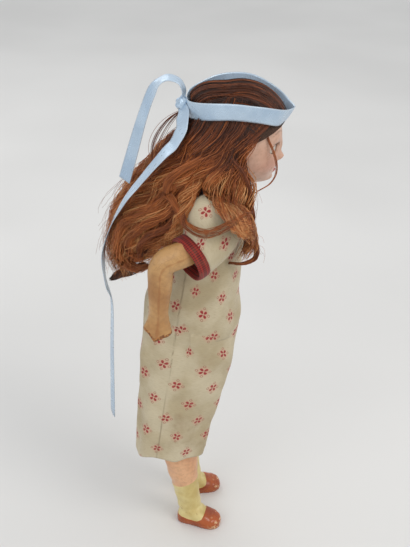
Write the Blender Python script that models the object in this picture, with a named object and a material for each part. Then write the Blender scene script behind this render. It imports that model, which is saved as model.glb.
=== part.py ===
"""A papier-mache doll about 320 mm tall, strung with elastic and dressed in a calico romper.

The doll stands on its soles and faces -Y. Its torso frame starts on the hip axis and leans forward with the
photographed stance. Head, eyes, arms and legs each hang from an empty that lies on their joint's axis.
"""
import math
from functools import partial

import bmesh
import bpy
from mathutils import Matrix, Vector

# Clearances
JOINT_GAP = 0.0005            # between faces that turn against each other
FIT_GAP = 0.0004              # between pieces that are fixed together
CLOTH_GAP = 0.0006            # between two edges that are sewn together

# Stance
HIP_HEIGHT = 0.150            # hip axis above the floor
TORSO_LEAN = math.radians(7.5)
RIGHT_ARM_BACK = math.radians(65.4)   # upper arm behind the vertical
LEFT_ARM_BACK = math.radians(27)

# Torso, measured from the hip axis along the leaning body
SHOULDER_HEIGHT = 0.0945
NECK_RISE = 0.011             # centre of the neck ball above the shoulder axis
TORSO_WALL = 0.003
CHEST_HALF_WIDTH = 0.0230
CHEST_HALF_DEPTH = 0.0165
WAIST_HALF_WIDTH = 0.0200
WAIST_HALF_DEPTH = 0.0150
HIP_HALF_WIDTH = 0.0235
HIP_HALF_DEPTH = 0.0170
CROTCH_DROP = 0.021           # underside of the body below the hip axis
PELVIS_HALF_WIDTH = 0.0090    # flat sides that the legs turn against

# Stringing
CORD_RADIUS = 0.0013
KNOT_RADIUS = 0.0024
WASHER_RADIUS = 0.0026
WASHER_THICKNESS = 0.0008
HOOK_WIRE_RADIUS = 0.0008

# Head, measured from the centre of the skull
SKULL_HALF_WIDTH = 0.0225
SKULL_BACK = 0.0255
SKULL_TOP = 0.0268
FACE_FRONT = 0.0245
CHIN_DROP = 0.0280
NOSE_RISE = 0.0036
NOSE_DROP = 0.0088            # nose tip below the centre of the skull
HEAD_WALL = 0.0026
HEAD_FORWARD = 0.006          # skull centre in front of the neck axis
HEAD_ABOVE_NECK = 0.0355      # skull centre above the centre of the neck ball
CROWN_CUT = 0.0135            # height of the crown opening
PATE_WALL = 0.0018
NECK_RADIUS = 0.0092
NECK_BALL_RADIUS = 0.0106
NECK_BORE_RADIUS = 0.0066
BUNG_LENGTH = 0.010

# Sleeping eyes
EYE_RADIUS = 0.0062
EYE_SPACING = 0.0190          # centre to centre
EYE_DROP = 0.0018             # eye axis below the centre of the skull
EYE_SETBACK = 0.0012          # front of the ball behind the face
EYE_OPENING_WIDTH = 0.0104
EYE_OPENING_HEIGHT = 0.0068
ROCKER_WIRE_RADIUS = 0.0006
ROCKER_REACH = 0.0100         # rocker wire behind the eye axis
WEIGHT_SIZE = (0.0080, 0.0060, 0.0070)

# Arms, measured from the shoulder axis along the limb
UPPER_ARM = 0.036
FOREARM_AND_HAND = 0.0465
ELBOW_BEND = math.radians(63.4)
ELBOW_SPAN = 0.014            # length of arm over which the elbow bends
ARM_SPREAD = 0.0150           # elbow further out than the shoulder
SHOULDER_HALF_WIDTH = 0.0066
SHOULDER_RADIUS = 0.0088
ELBOW_RADIUS = 0.0078
WRIST_RADIUS = 0.0056
HAND_HALF_WIDTH = 0.0072
HAND_HALF_THICKNESS = 0.0034

# Legs, heights above the floor
ANKLE_HEIGHT = 0.029
CALF_HEIGHT = 0.060
KNEE_HEIGHT = 0.092
THIGH_RADIUS = 0.0130
KNEE_RADIUS = 0.0112
CALF_RADIUS = 0.0116
ANKLE_RADIUS = 0.0086
CALF_BACK = 0.0042            # calf bulge behind the leg's axis
LEG_HALF_WIDTH = 0.0078       # hip end of the leg, across
FEET_INWARD = 0.0030          # feet nearer the doll's middle than the hips
FOOT_LENGTH = 0.030
FOOT_HALF_WIDTH = 0.0076
FOOT_SPLAY = math.radians(13)
HEEL_BACK = 0.0040            # back of the heel behind the hip axis
HEEL_HEIGHT = 0.0140
INSTEP_HEIGHT = 0.0200
TOE_HEIGHT = 0.0082

# Romper
CLOTH = 0.0010
WAIST_SEAM = 0.022            # seam above the hip axis, square to the leaning body
BODICE_WAIST_HALF_WIDTH = 0.0310
BODICE_CHEST_HALF_WIDTH = 0.0280
BODICE_WAIST_FRONT = 0.0289
BODICE_WAIST_BACK = 0.0330
BODICE_CHEST_FRONT = 0.0206
BODICE_CHEST_BACK = 0.0210
NECK_OPENING = 0.0138
ARMHOLE_RADIUS = 0.0148
ARMHOLE_INSET = 0.0030        # armhole edge inside the widest part of the bodice
TROUSER_MIDLINE = 0.0005      # inner side of each leg from the doll's middle
TROUSER_HEM_HALF_WIDTH = 0.0164
TROUSER_HEM_FRONT = 0.0118
TROUSER_HEM_BACK = 0.0345
HEM_HEIGHT = 0.069
FOLD_DEPTH = 0.0020           # of the folds at the hem
FOLDS = 7                     # round each leg
SLEEVE_LENGTH = 0.015
CUFF_RADIUS = 0.0136
CUFF_TILT = math.radians(58)
BINDING_WIDTH = 0.0042
BINDING_THICKNESS = 0.0016
BUTTON_RADIUS = 0.0032
BUTTON_THICKNESS = 0.0014
BUTTON_HEIGHTS = (0.084, 0.064, 0.044)

# Wig and ribbon
WIG_CAP_LIFT = 0.0012         # cap off the skull
WIG_CAP_THICKNESS = 0.0008
HAIR_THICKNESS = 0.0026       # hair on the crown
HAIRLINE_TILT = math.radians(30)
HAIRLINE_ANGLE = math.radians(92)
RIBBON_WIDTH = 0.010
RIBBON_THICKNESS = 0.0005
BAND_HALF_WIDTH = 0.0275
BAND_HALF_LENGTH = 0.0302
BAND_BACK = 0.0025            # middle of the band behind the skull centre
BAND_TILT = math.radians(5)   # band higher at the forehead
BAND_HEIGHT = 0.0145          # middle of the band above the skull centre, at the forehead and knot
BAND_ARCH = 0.0075            # how much higher it lies over the sides of the head
KNOT_HALF_SIZES = (0.0050, 0.0040, 0.0050)
RIBBON_TURN = 0.25            # sideways lean of a tail's width at its end
TAIL_LIFT = 0.0024            # long tail off the hair it lies on
TAIL_ASIDE = 0.0130           # long tail to the right of the middle where it lies on the hair
LONG_TAIL_HANG = 0.118        # free length below the hair
# Back hair: behind the crown hair, height, half width, half thickness, how far its edges wrap forward
HAIR_FALL = (
    (0.0062, -0.0050, 0.0245, 0.0018, 0.0118),
    (0.0046, -0.012, 0.0280, 0.0036, 0.015),
    (0.0090, -0.028, 0.0310, 0.0052, 0.017),
    (0.0158, -0.043, 0.0320, 0.0064, 0.017),
    (0.0252, -0.061, 0.0320, 0.0070, 0.013),
    (0.0288, -0.081, 0.0295, 0.0072, 0.008),
    (0.0265, -0.098, 0.0240, 0.0056, 0.005),
    (0.0230, -0.107, 0.0130, 0.0024, 0.002),
)
# Hair beside the face and in front of each shoulder: outside the crown hair, behind the skull centre, height,
# half width towards X, half depth, and a wrap of none
SIDE_LOCK = (
    (0.0024, 0.0050, 0.007, 0.0018, 0.0150, 0.0),
    (0.0032, 0.0040, -0.008, 0.0024, 0.0140, 0.0),
    (0.0032, 0.0015, -0.020, 0.0028, 0.0115, 0.0),
    (0.0026, -0.0088, -0.029, 0.0032, 0.0066, 0.0),
    (0.0014, -0.0180, -0.038, 0.0038, 0.0036, 0.0),
    (0.0002, -0.0196, -0.048, 0.0042, 0.0034, 0.0),
    (-0.0016, -0.0190, -0.060, 0.0045, 0.0034, 0.0),
    (-0.0032, -0.0190, -0.068, 0.0045, 0.0030, 0.0),
    (-0.0045, -0.0155, -0.075, 0.0022, 0.0016, 0.0),
)
# Short tail of the ribbon: behind and above where it leaves the knot
SHORT_TAIL = (
    (0.0000, 0.0020), (0.0020, 0.0100), (0.0065, 0.0150), (0.0130, 0.0105), (0.0170, -0.0010),
    (0.0185, -0.0170), (0.0200, -0.0340), (0.0215, -0.0510),
)

# Finishes: colour, roughness, metallic
SKIN = ((0.50, 0.27, 0.13), 0.42, 0.0)
BOARD = ((0.36, 0.27, 0.18), 0.80, 0.0)
ELASTIC = ((0.62, 0.58, 0.50), 0.85, 0.0)
STEEL = ((0.45, 0.44, 0.42), 0.45, 1.0)
WOOD = ((0.48, 0.32, 0.17), 0.70, 0.0)
LEAD = ((0.22, 0.22, 0.23), 0.60, 1.0)
GLASS_EYE = ((0.70, 0.68, 0.64), 0.12, 0.0)
CALICO = ((0.48, 0.38, 0.26), 0.90, 0.0)
GINGHAM = ((0.30, 0.06, 0.04), 0.90, 0.0)
BUTTON = ((0.62, 0.58, 0.50), 0.35, 0.0)
NET = ((0.30, 0.22, 0.15), 0.90, 0.0)
HAIR = ((0.16, 0.06, 0.025), 0.50, 0.0)
SATIN = ((0.48, 0.56, 0.62), 0.35, 0.0)

ROUND = 24                    # sides of turned pieces
FINE = 10                     # sides of cords and wires
RIGHT, LEFT = -1, 1
SIDES = {"right": RIGHT, "left": LEFT}


def clear_scene():
    for item in list(bpy.data.objects):
        bpy.data.objects.remove(item, do_unlink=True)


def finish(name, look):
    colour, roughness, metallic = look
    material = bpy.data.materials.new(name)
    material.use_nodes = True
    shader = material.node_tree.nodes["Principled BSDF"]
    shader.inputs["Base Color"].default_value = (*colour, 1.0)
    shader.inputs["Roughness"].default_value = roughness
    shader.inputs["Metallic"].default_value = metallic
    return material


def frame(name, parent=None, place=(0, 0, 0), turn_x=0.0):
    """An empty that carries the pieces of one body."""
    empty = bpy.data.objects.new(name, None)
    bpy.context.collection.objects.link(empty)
    empty.parent = parent
    empty.location = place
    empty.rotation_euler = (turn_x, 0, 0)
    return empty


def add(name, mesh, look, parent, sharp=math.radians(40)):
    """One sub-part under its frame, shaded smooth except at real edges."""
    item = bpy.data.objects.new(name, mesh)
    bpy.context.collection.objects.link(item)
    item.parent = parent
    mesh.shade_smooth()
    mesh.set_sharp_from_angle(angle=sharp)
    mesh.materials.append(finish(name, look))
    return item


def combine(target, shape, operation="DIFFERENCE"):
    """Cut a hidden shape out of a piece, or join it on."""
    tool = bpy.data.objects.new(f"{target.name}_tool", shape)
    bpy.context.collection.objects.link(tool)
    tool.parent = target.parent
    tool.hide_render = True
    tool.display_type = "WIRE"
    modifier = target.modifiers.new(operation.lower(), "BOOLEAN")
    modifier.operation = operation
    modifier.object = tool


def skin(name, rings, loop=False):
    """A closed surface through rings of points; a ring of one point closes an end, and loop joins last to first."""
    bm = bmesh.new()
    rows = [[bm.verts.new(p) for p in ring] for ring in rings]
    pairs = list(zip(rows, rows[1:]))
    if loop:
        pairs.append((rows[-1], rows[0]))
    for low, high in pairs:
        count = max(len(low), len(high))
        for i in range(count):
            j = (i + 1) % count
            corners = [low[i % len(low)], low[j % len(low)], high[j % len(high)], high[i % len(high)]]
            bm.faces.new(list(dict.fromkeys(corners)))
    if not loop:
        for row in (rows[0], rows[-1]):
            if len(row) > 1:
                bm.faces.new(row)
    bmesh.ops.recalc_face_normals(bm, faces=bm.faces)
    mesh = bpy.data.meshes.new(name)
    bm.to_mesh(mesh)
    bm.free()
    return mesh


def signed_power(value, power):
    return math.copysign(abs(value) ** power, value)


def oval(centre, half_x, front, back, sides=ROUND, power=1.0, ripple=None):
    """A level ring whose front (-Y) and back reach differ; power under 1 squares it off."""
    x0, y0, z0 = centre
    ring = []
    for i in range(sides):
        a = math.tau * i / sides
        c = signed_power(math.cos(a), power)
        s = signed_power(math.sin(a), power)
        swell = ripple(a) if ripple else 0.0
        depth = (back if s > 0 else front) + swell
        ring.append(Vector((x0 + (half_x + swell) * c, y0 + depth * s, z0)))
    return ring


def turned(name, profile, axis="Z", sides=ROUND, place=(0, 0, 0)):
    """A solid of revolution from (radius, height) points; a radius of 0 closes an end."""
    turn = Matrix.Rotation(math.radians(90), 3, "Y") if axis == "X" else Matrix.Identity(3)
    if axis == "Y":
        turn = Matrix.Rotation(math.radians(-90), 3, "X")
    rings = []
    for radius, height in profile:
        count = sides if radius > 0 else 1
        points = [Vector((radius * math.cos(math.tau * i / count), radius * math.sin(math.tau * i / count), height))
                  for i in range(count)]
        rings.append([turn @ p + Vector(place) for p in points])
    return skin(name, rings)


def cylinder(name, radius, start, end, axis="Z", place=(0, 0, 0), sides=ROUND):
    return turned(name, [(radius, start), (radius, end)], axis, sides, place)


def ball(name, radius, place=(0, 0, 0), sides=ROUND, scale=(1, 1, 1)):
    rows = sides // 2
    rings = []
    for k in range(rows + 1):
        polar = math.pi * k / rows
        count = sides if 0 < k < rows else 1
        rings.append([Vector((
            place[0] + scale[0] * radius * math.sin(polar) * math.cos(math.tau * i / count),
            place[1] + scale[1] * radius * math.sin(polar) * math.sin(math.tau * i / count),
            place[2] + scale[2] * radius * math.cos(polar))) for i in range(count)])
    return skin(name, rings)


def block(name, low, high):
    x0, y0, z0 = low
    x1, y1, z1 = high
    return skin(name, [[Vector((x, y, z)) for x, y in ((x0, y0), (x1, y0), (x1, y1), (x0, y1))] for z in (z0, z1)])


def smooth_path(points, count):
    """Evenly counted points on a smooth curve through the given points."""
    points = [Vector(p) for p in points]
    ends = [2 * points[0] - points[1], *points, 2 * points[-1] - points[-2]]
    path = []
    for k in range(count):
        t = (len(points) - 1) * k / (count - 1)
        i = min(int(t), len(points) - 2)
        u = t - i
        a, b, c, d = ends[i:i + 4]
        path.append(0.5 * (2 * b + (c - a) * u + (2 * a - 5 * b + 4 * c - d) * u ** 2
                           + (3 * b - a - 3 * c + d) * u ** 3))
    return path


def swept(name, path, sizes, side=(1, 0, 0), sides=FINE, round_ends=False):
    """A tube along a path; sizes holds its half width, half depth and how far its edges wrap round, at each point."""
    rings = []
    last = len(path) - 1
    for k, point in enumerate(path):
        along = (path[min(k + 1, last)] - path[max(k - 1, 0)]).normalized()
        across = Vector(side)
        across = (across - across.dot(along) * along).normalized()
        other = along.cross(across)
        a, b, wrap = sizes[k]
        ring = []
        for i in range(sides):
            c, s = math.cos(math.tau * i / sides), math.sin(math.tau * i / sides)
            ring.append(point + across * a * c + other * (b * s + wrap * c * c))
        rings.append(ring)
        if round_ends and k in (0, last):
            outward = along if k else -along
            middle = sum(ring, Vector()) / sides
            cap = [[middle + outward * min(a, b) * math.sin(e) + (p - middle) * math.cos(e) for p in ring]
                   for e in (math.radians(35), math.radians(65))]
            cap.append([middle + outward * min(a, b)])
            if k:
                rings.extend(cap)
            else:
                rings[0:0] = cap[::-1]
    return skin(name, rings)


def ribbon(name, path, turn=0.0):
    """A flat strip along a path, with its width towards X, turned by a slope that goes over to RIBBON_TURN."""
    rings = []
    last = len(path) - 1
    for k, point in enumerate(path):
        along = (path[min(k + 1, last)] - path[max(k - 1, 0)]).normalized()
        across = Vector((1, turn + (RIBBON_TURN - turn) * k / last, 0))
        across = (across - across.dot(along) * along).normalized() * RIBBON_WIDTH / 2
        thick = along.cross(across).normalized() * RIBBON_THICKNESS / 2
        rings.append([point + across + thick, point - across + thick, point - across - thick, point + across - thick])
    return skin(name, rings)


def eased(t):
    t = min(max(t, 0.0), 1.0)
    return t * t * (3 - 2 * t)


def through(stops, at):
    """Smoothly interpolated values between (position, value, ...) stops."""
    if at <= stops[0][0]:
        return stops[0][1:]
    for low, high in zip(stops, stops[1:]):
        if at <= high[0]:
            t = eased((at - low[0]) / (high[0] - low[0]))
            return tuple(a + (b - a) * t for a, b in zip(low[1:], high[1:]))
    return stops[-1][1:]


# Torso and stringing

NECK_HEIGHT = SHOULDER_HEIGHT + NECK_RISE
HIP_CUT_RADIUS = HIP_HALF_DEPTH + 3 * JOINT_GAP
LEG_TOP_RADIUS = HIP_CUT_RADIUS - JOINT_GAP
ARM_FACE = CHEST_HALF_WIDTH + 3 * JOINT_GAP          # inner side of each arm
ARM_MIDDLE = ARM_FACE + SHOULDER_HALF_WIDTH
LEG_FACE = PELVIS_HALF_WIDTH + JOINT_GAP             # inner side of each leg
LEG_MIDDLE = LEG_FACE + LEG_HALF_WIDTH
FOOT_MIDDLE = LEG_MIDDLE - FEET_INWARD
CORD_HOLE = CORD_RADIUS + FIT_GAP
WASHER_PLACE = KNOT_RADIUS + FIT_GAP                 # washer's outer face from the middle of the knot
POCKET_RADIUS = math.hypot(WASHER_PLACE + WASHER_THICKNESS, WASHER_RADIUS + FIT_GAP) + FIT_GAP
CUP_RADIUS = NECK_BALL_RADIUS + JOINT_GAP
NECKLINE = NECK_HEIGHT + CLOTH                       # top of the bodice on the body
ARMHOLE_EDGE = BODICE_CHEST_HALF_WIDTH - ARMHOLE_INSET
TROUSER_WAIST_HALF_WIDTH = (BODICE_WAIST_HALF_WIDTH - TROUSER_MIDLINE) / 2
TROUSER_WAIST_FRONT = BODICE_WAIST_FRONT * math.cos(TORSO_LEAN) + WAIST_SEAM * math.sin(TORSO_LEAN)
TROUSER_WAIST_BACK = BODICE_WAIST_BACK * math.cos(TORSO_LEAN) - WAIST_SEAM * math.sin(TORSO_LEAN)
HAIR_LIFT = WIG_CAP_LIFT + WIG_CAP_THICKNESS + FIT_GAP + HAIR_THICKNESS
HAIR_BACK = SKULL_BACK + HAIR_LIFT                   # outside of the crown hair behind the skull centre
HAIR_SIDE = SKULL_HALF_WIDTH + HAIR_LIFT             # and beside it
SHOULDER_FORWARD = 2 * CORD_RADIUS + 2 * FIT_GAP     # the arm elastic passes in front of the neck's
SHOULDER = (0, -SHOULDER_FORWARD, SHOULDER_HEIGHT)   # middle of the shoulder axis
HIP = (0, 0, 0)


def torso_rings(inset, low, high, rows, sides):
    neck_base = NECK_HEIGHT - 0.55 * NECK_BALL_RADIUS
    stops = [
        (-CROTCH_DROP, 0.55 * HIP_HALF_WIDTH, 0.70 * HIP_HALF_DEPTH),
        (-0.6 * CROTCH_DROP, 0.90 * HIP_HALF_WIDTH, 0.95 * HIP_HALF_DEPTH),
        (0.0, HIP_HALF_WIDTH, HIP_HALF_DEPTH),
        (0.5 * SHOULDER_HEIGHT, WAIST_HALF_WIDTH, WAIST_HALF_DEPTH),
        (0.8 * SHOULDER_HEIGHT, CHEST_HALF_WIDTH, CHEST_HALF_DEPTH),
        (SHOULDER_HEIGHT, 0.96 * CHEST_HALF_WIDTH, 0.92 * CHEST_HALF_DEPTH),
        (neck_base, 1.22 * NECK_BALL_RADIUS, 1.15 * NECK_BALL_RADIUS),
    ]
    rings = []
    for k in range(rows):
        z = low + (high - low) * k / (rows - 1)
        half_width, half_depth = through(stops, z)
        rings.append(oval((0, 0, z), half_width - inset, half_depth - inset, half_depth - inset, sides, 0.9))
    return rings


def make_torso(body):
    top = NECK_HEIGHT - 0.55 * NECK_BALL_RADIUS
    shell = add("torso_shell", skin("torso_shell", torso_rings(0.0, -CROTCH_DROP, top, 11, ROUND)), SKIN, body)
    cup_floor = NECK_HEIGHT - CUP_RADIUS
    hollow_low = HIP_CUT_RADIUS + TORSO_WALL
    combine(shell, skin("hollow", torso_rings(TORSO_WALL, hollow_low, cup_floor - TORSO_WALL, 6, 16)))
    deep = 2 * HIP_HALF_DEPTH
    arc = [(HIP_CUT_RADIUS * math.cos(a), HIP_CUT_RADIUS * math.sin(a))
           for a in (math.radians(d) for d in range(0, 91, 15))]
    notch = [(deep, -deep), (deep, -JOINT_GAP), (HIP_CUT_RADIUS, -JOINT_GAP), *arc,
             (-deep, HIP_CUT_RADIUS), (-deep, -deep)]
    for side in (RIGHT, LEFT):
        faces = (side * PELVIS_HALF_WIDTH, side * 2 * HIP_HALF_WIDTH)
        combine(shell, skin("hip_notch", [[Vector((x, y, z)) for y, z in notch] for x in faces]))
    combine(shell, ball("neck_cup", CUP_RADIUS, (0, 0, NECK_HEIGHT)))
    reach = 2 * HIP_HALF_WIDTH
    combine(shell, cylinder("shoulder_hole", CORD_HOLE, -reach, reach, "X", SHOULDER, FINE))
    combine(shell, cylinder("hip_hole", CORD_HOLE, -reach, reach, "X", HIP, FINE))
    combine(shell, cylinder("neck_hole", CORD_HOLE, cup_floor - 2 * TORSO_WALL, NECK_HEIGHT, sides=FINE))
    hook_bore = 4 * CORD_RADIUS + 2 * HOOK_WIRE_RADIUS
    combine(shell, cylinder("hook_bore", hook_bore / 2 + HOOK_WIRE_RADIUS, -hook_bore, hollow_low + TORSO_WALL))


def cord_between(name, body, half_length, middle):
    """Elastic along X with a knot at each end."""
    neck = half_length - 0.8 * KNOT_RADIUS
    knot = [(KNOT_RADIUS * math.cos(e), half_length + KNOT_RADIUS * math.sin(e))
            for e in (math.radians(a) for a in (-30, 10, 50))]
    profile = [(0, half_length + KNOT_RADIUS), *reversed(knot), (CORD_RADIUS, neck)]
    mirrored = [(radius, -along) for radius, along in reversed(profile)]
    add(name, turned(name, profile + mirrored, "X", FINE, middle), ELASTIC, body)


def make_stringing(body):
    cord_between("arm_elastic", body, ARM_MIDDLE, SHOULDER)
    cord_between("leg_elastic", body, LEG_MIDDLE, HIP)
    hook_radius = CORD_RADIUS + HOOK_WIRE_RADIUS + FIT_GAP
    eye = 2.4 * hook_radius
    bend = [Vector((0, hook_radius * math.sin(a), -hook_radius * math.cos(a)))
            for a in (math.radians(d) for d in range(-120, 121, 30))]
    bend.append(Vector((0, 0.4 * hook_radius, eye * 0.75)))
    bend.append(Vector((0, 0, eye)))
    wire = [(HOOK_WIRE_RADIUS, HOOK_WIRE_RADIUS, 0.0)] * len(bend)
    add("neck_hook", swept("neck_hook", bend, wire, sides=6), STEEL, body)
    knot_middle = NECK_HEIGHT + BUNG_LENGTH / 2 + WASHER_THICKNESS + 2 * FIT_GAP + KNOT_RADIUS
    start = eye + HOOK_WIRE_RADIUS + FIT_GAP
    knot = [(KNOT_RADIUS * math.cos(e), knot_middle + KNOT_RADIUS * math.sin(e))
            for e in (math.radians(a) for a in (-30, 10, 50))]
    profile = [(CORD_RADIUS, start), (CORD_RADIUS, knot_middle - 0.8 * KNOT_RADIUS), *knot,
               (0, knot_middle + KNOT_RADIUS)]
    add("neck_elastic", turned("neck_elastic", profile, "Z", FINE), ELASTIC, body)


# Head and eyes

def head_ring(z, inset, sides):
    """A level slice of the head: round skull above, fuller jaw in front below."""
    if z >= 0:
        top = SKULL_TOP - inset
        rise = math.sqrt(max(0.0, 1 - (z / top) ** 2))
        half_width, back = rise * (SKULL_HALF_WIDTH - inset), rise * (SKULL_BACK - inset)
        front = rise * (FACE_FRONT - inset)
    else:
        drop = min(1.0, -z / (CHIN_DROP - inset))
        half_width = (SKULL_HALF_WIDTH - inset) * (1 - drop ** 2.6) ** (1 / 2.3) * (1 - 0.10 * drop)
        back = (SKULL_BACK - inset) * math.sqrt(1 - drop ** 2)
        front = (FACE_FRONT - inset) * (1 - drop ** 4.2) ** (1 / 3.0)
    square = 1.0 if z >= 0 else 1.0 - 0.05 * math.sin(math.pi * drop)
    ring = oval((0, 0, z), half_width, front, back, sides, square)
    if not inset:
        for point in ring:
            spread = (point.x / (0.75 * NOSE_RISE)) ** 2
            level = ((point.z + NOSE_DROP) / (1.1 * NOSE_RISE)) ** 2
            if point.y < 0:
                point.y -= NOSE_RISE * math.exp(-spread - level)
    return ring


def head_rows(inset, rows, sides):
    rings = []
    for k in range(rows + 1):
        a = math.pi * k / rows
        top, bottom = SKULL_TOP - inset, CHIN_DROP - inset
        z = top * math.cos(a) if a <= math.pi / 2 else bottom * math.cos(a)
        rings.append([Vector((0, 0, z))] if k in (0, rows) else head_ring(z, inset, sides))
    return rings


EYE_DEPTH = FACE_FRONT * math.sqrt(1 - (EYE_SPACING / 2 / SKULL_HALF_WIDTH) ** 2) - EYE_SETBACK - EYE_RADIUS


def almond(name, side):
    """A pointed oval bar through the face, for an eye opening."""
    rings = []
    for y in (-2 * FACE_FRONT, -EYE_DEPTH):
        ring = []
        for i in range(20):
            a = math.tau * i / 20
            x = side * EYE_SPACING / 2 + EYE_OPENING_WIDTH / 2 * math.cos(a)
            z = -EYE_DROP + EYE_OPENING_HEIGHT / 2 * signed_power(math.sin(a), 1.25)
            ring.append(Vector((x, y, z)))
        rings.append(ring)
    return skin(name, rings)


def make_head(skull, neck):
    """The hollow head with its neck, crown opening and eye openings, and what plugs it."""
    shell = add("head_shell", skin("head_shell", head_rows(0.0, 22, 32)), SKIN, skull)
    below = -HEAD_ABOVE_NECK
    axis = (0, HEAD_FORWARD, 0)
    ball_arc = [(NECK_BALL_RADIUS * math.sin(a), below - NECK_BALL_RADIUS * math.cos(a))
                for a in (math.radians(d) for d in range(0, 61, 12))]
    combine(shell, turned("neck", [*ball_arc, (NECK_RADIUS, below + 0.8 * NECK_BALL_RADIUS),
                                   (NECK_RADIUS, -0.5 * CHIN_DROP)], place=axis), "UNION")
    combine(shell, skin("hollow", head_rows(HEAD_WALL, 10, 20)))
    bore = cylinder("neck_bore", NECK_BORE_RADIUS, below - 2 * NECK_BALL_RADIUS, -0.4 * CHIN_DROP, "Z", axis, 22)
    combine(shell, bore)
    for side in (RIGHT, LEFT):
        centre = (side * EYE_SPACING / 2, -EYE_DEPTH, -EYE_DROP)
        combine(shell, ball("eye_socket", EYE_RADIUS + JOINT_GAP, centre))
        combine(shell, almond("eye_opening", side))
    wide = 2 * SKULL_BACK
    combine(shell, block("crown_cut", (-wide, -wide, CROWN_CUT), (wide, wide, wide)))
    pate = add("crown_pate", skin("crown_pate", head_rows(0.0, 16, 24)), BOARD, skull)
    combine(pate, skin("pate_hollow", head_rows(PATE_WALL, 14, 20)))
    combine(pate, block("pate_cut", (-wide, -wide, -wide), (wide, wide, CROWN_CUT + FIT_GAP)))
    half = BUNG_LENGTH / 2
    plug = NECK_BORE_RADIUS - FIT_GAP
    bung = add("neck_bung", cylinder("neck_bung", plug, -half, half), WOOD, neck)
    combine(bung, cylinder("bung_hole", CORD_HOLE, -BUNG_LENGTH, BUNG_LENGTH, sides=FINE))
    washer = add("neck_washer", cylinder("neck_washer", WASHER_RADIUS, half + FIT_GAP,
                                         half + FIT_GAP + WASHER_THICKNESS), STEEL, neck)
    combine(washer, cylinder("washer_hole", CORD_HOLE, 0, BUNG_LENGTH, sides=FINE))


def make_eyes(eyes):
    """Two glass balls on one rocker wire with a lead weight; the frame lies on the axis through both balls."""
    for word, side in SIDES.items():
        add(f"{word}_eye", ball(f"{word}_eye", EYE_RADIUS, (side * EYE_SPACING / 2, 0, 0), 16), GLASS_EYE, eyes)
    behind = EYE_RADIUS + ROCKER_WIRE_RADIUS + FIT_GAP
    sink = 0.75 * ROCKER_REACH
    half = EYE_SPACING / 2
    route = [(-half, behind, 0), (-0.8 * half, ROCKER_REACH, -0.3 * sink), (-0.4 * half, ROCKER_REACH, -0.9 * sink),
             (0, ROCKER_REACH, -sink), (0.4 * half, ROCKER_REACH, -0.9 * sink),
             (0.8 * half, ROCKER_REACH, -0.3 * sink), (half, behind, 0)]
    path = smooth_path(route, 19)
    wire = [(ROCKER_WIRE_RADIUS, ROCKER_WIRE_RADIUS, 0.0)] * len(path)
    add("eye_rocker", swept("eye_rocker", path, wire, side=(0, 1, 0.4), sides=6), STEEL, eyes)
    x, y, z = WEIGHT_SIZE
    top = -sink - ROCKER_WIRE_RADIUS - FIT_GAP
    rings = [oval((0, ROCKER_REACH, top - z * t), x / 2 * r, y / 2 * r, y / 2 * r, 12, 0.6)
             for t, r in ((0, 0.75), (0.2, 1), (0.8, 1), (1, 0.75))]
    add("eye_weight", skin("eye_weight", rings), LEAD, eyes)


# Limbs

def arm_path(side, steps=17):
    """Points down the arm with the upper arm hanging straight and the forearm bent forward."""
    length = UPPER_ARM + FOREARM_AND_HAND
    point = Vector((side * ARM_MIDDLE, 0, 0))
    path = [point.copy()]
    step = length / (steps - 1)
    for k in range(1, steps):
        s = (k - 0.5) * step
        bend = ELBOW_BEND * eased((s - UPPER_ARM) / ELBOW_SPAN + 0.5)
        point = point + step * Vector((0, -math.sin(bend), -math.cos(bend)))
        out = ARM_SPREAD * eased(k * step / (0.7 * UPPER_ARM))
        path.append(Vector((side * (ARM_MIDDLE + out), point.y, point.z)))
    return path


def make_arm(word, side, arm):
    path = arm_path(side)
    length = UPPER_ARM + FOREARM_AND_HAND
    stops = [
        (0.0, SHOULDER_HALF_WIDTH, SHOULDER_RADIUS),
        (0.6 * UPPER_ARM, SHOULDER_HALF_WIDTH, 0.9 * SHOULDER_RADIUS),
        (UPPER_ARM, 0.9 * ELBOW_RADIUS, ELBOW_RADIUS),
        (UPPER_ARM + 0.30 * FOREARM_AND_HAND, 0.85 * ELBOW_RADIUS, 0.92 * ELBOW_RADIUS),
        (UPPER_ARM + 0.62 * FOREARM_AND_HAND, 0.85 * WRIST_RADIUS, WRIST_RADIUS),
        (UPPER_ARM + 0.80 * FOREARM_AND_HAND, HAND_HALF_THICKNESS, HAND_HALF_WIDTH),
        (length, 0.75 * HAND_HALF_THICKNESS, 0.75 * HAND_HALF_WIDTH),
    ]
    sizes = [(*through(stops, length * k / (len(path) - 1)), 0.0) for k in range(len(path))]
    limb = add(f"{word}_arm", swept(f"{word}_arm", path, sizes, sides=14, round_ends=True), SKIN, arm)
    string_limb(limb, side, ARM_MIDDLE, word + "_arm")


def string_limb(limb, side, middle, name):
    """The hollow in a limb for the elastic's knot, and the washer that the knot pulls on."""
    hole = [side * (middle - 5 * POCKET_RADIUS), side * middle]
    combine(limb, ball("knot_pocket", POCKET_RADIUS, (side * middle, 0, 0), 12))
    combine(limb, cylinder("cord_hole", CORD_HOLE, *hole, "X", sides=FINE))
    place = side * (middle - WASHER_PLACE)
    washer = add(f"{name}_washer", cylinder(f"{name}_washer", WASHER_RADIUS, place, place - side * WASHER_THICKNESS,
                                            "X", sides=16), STEEL, limb.parent)
    combine(washer, cylinder("washer_hole", CORD_HOLE, *hole, "X", sides=FINE))


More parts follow.
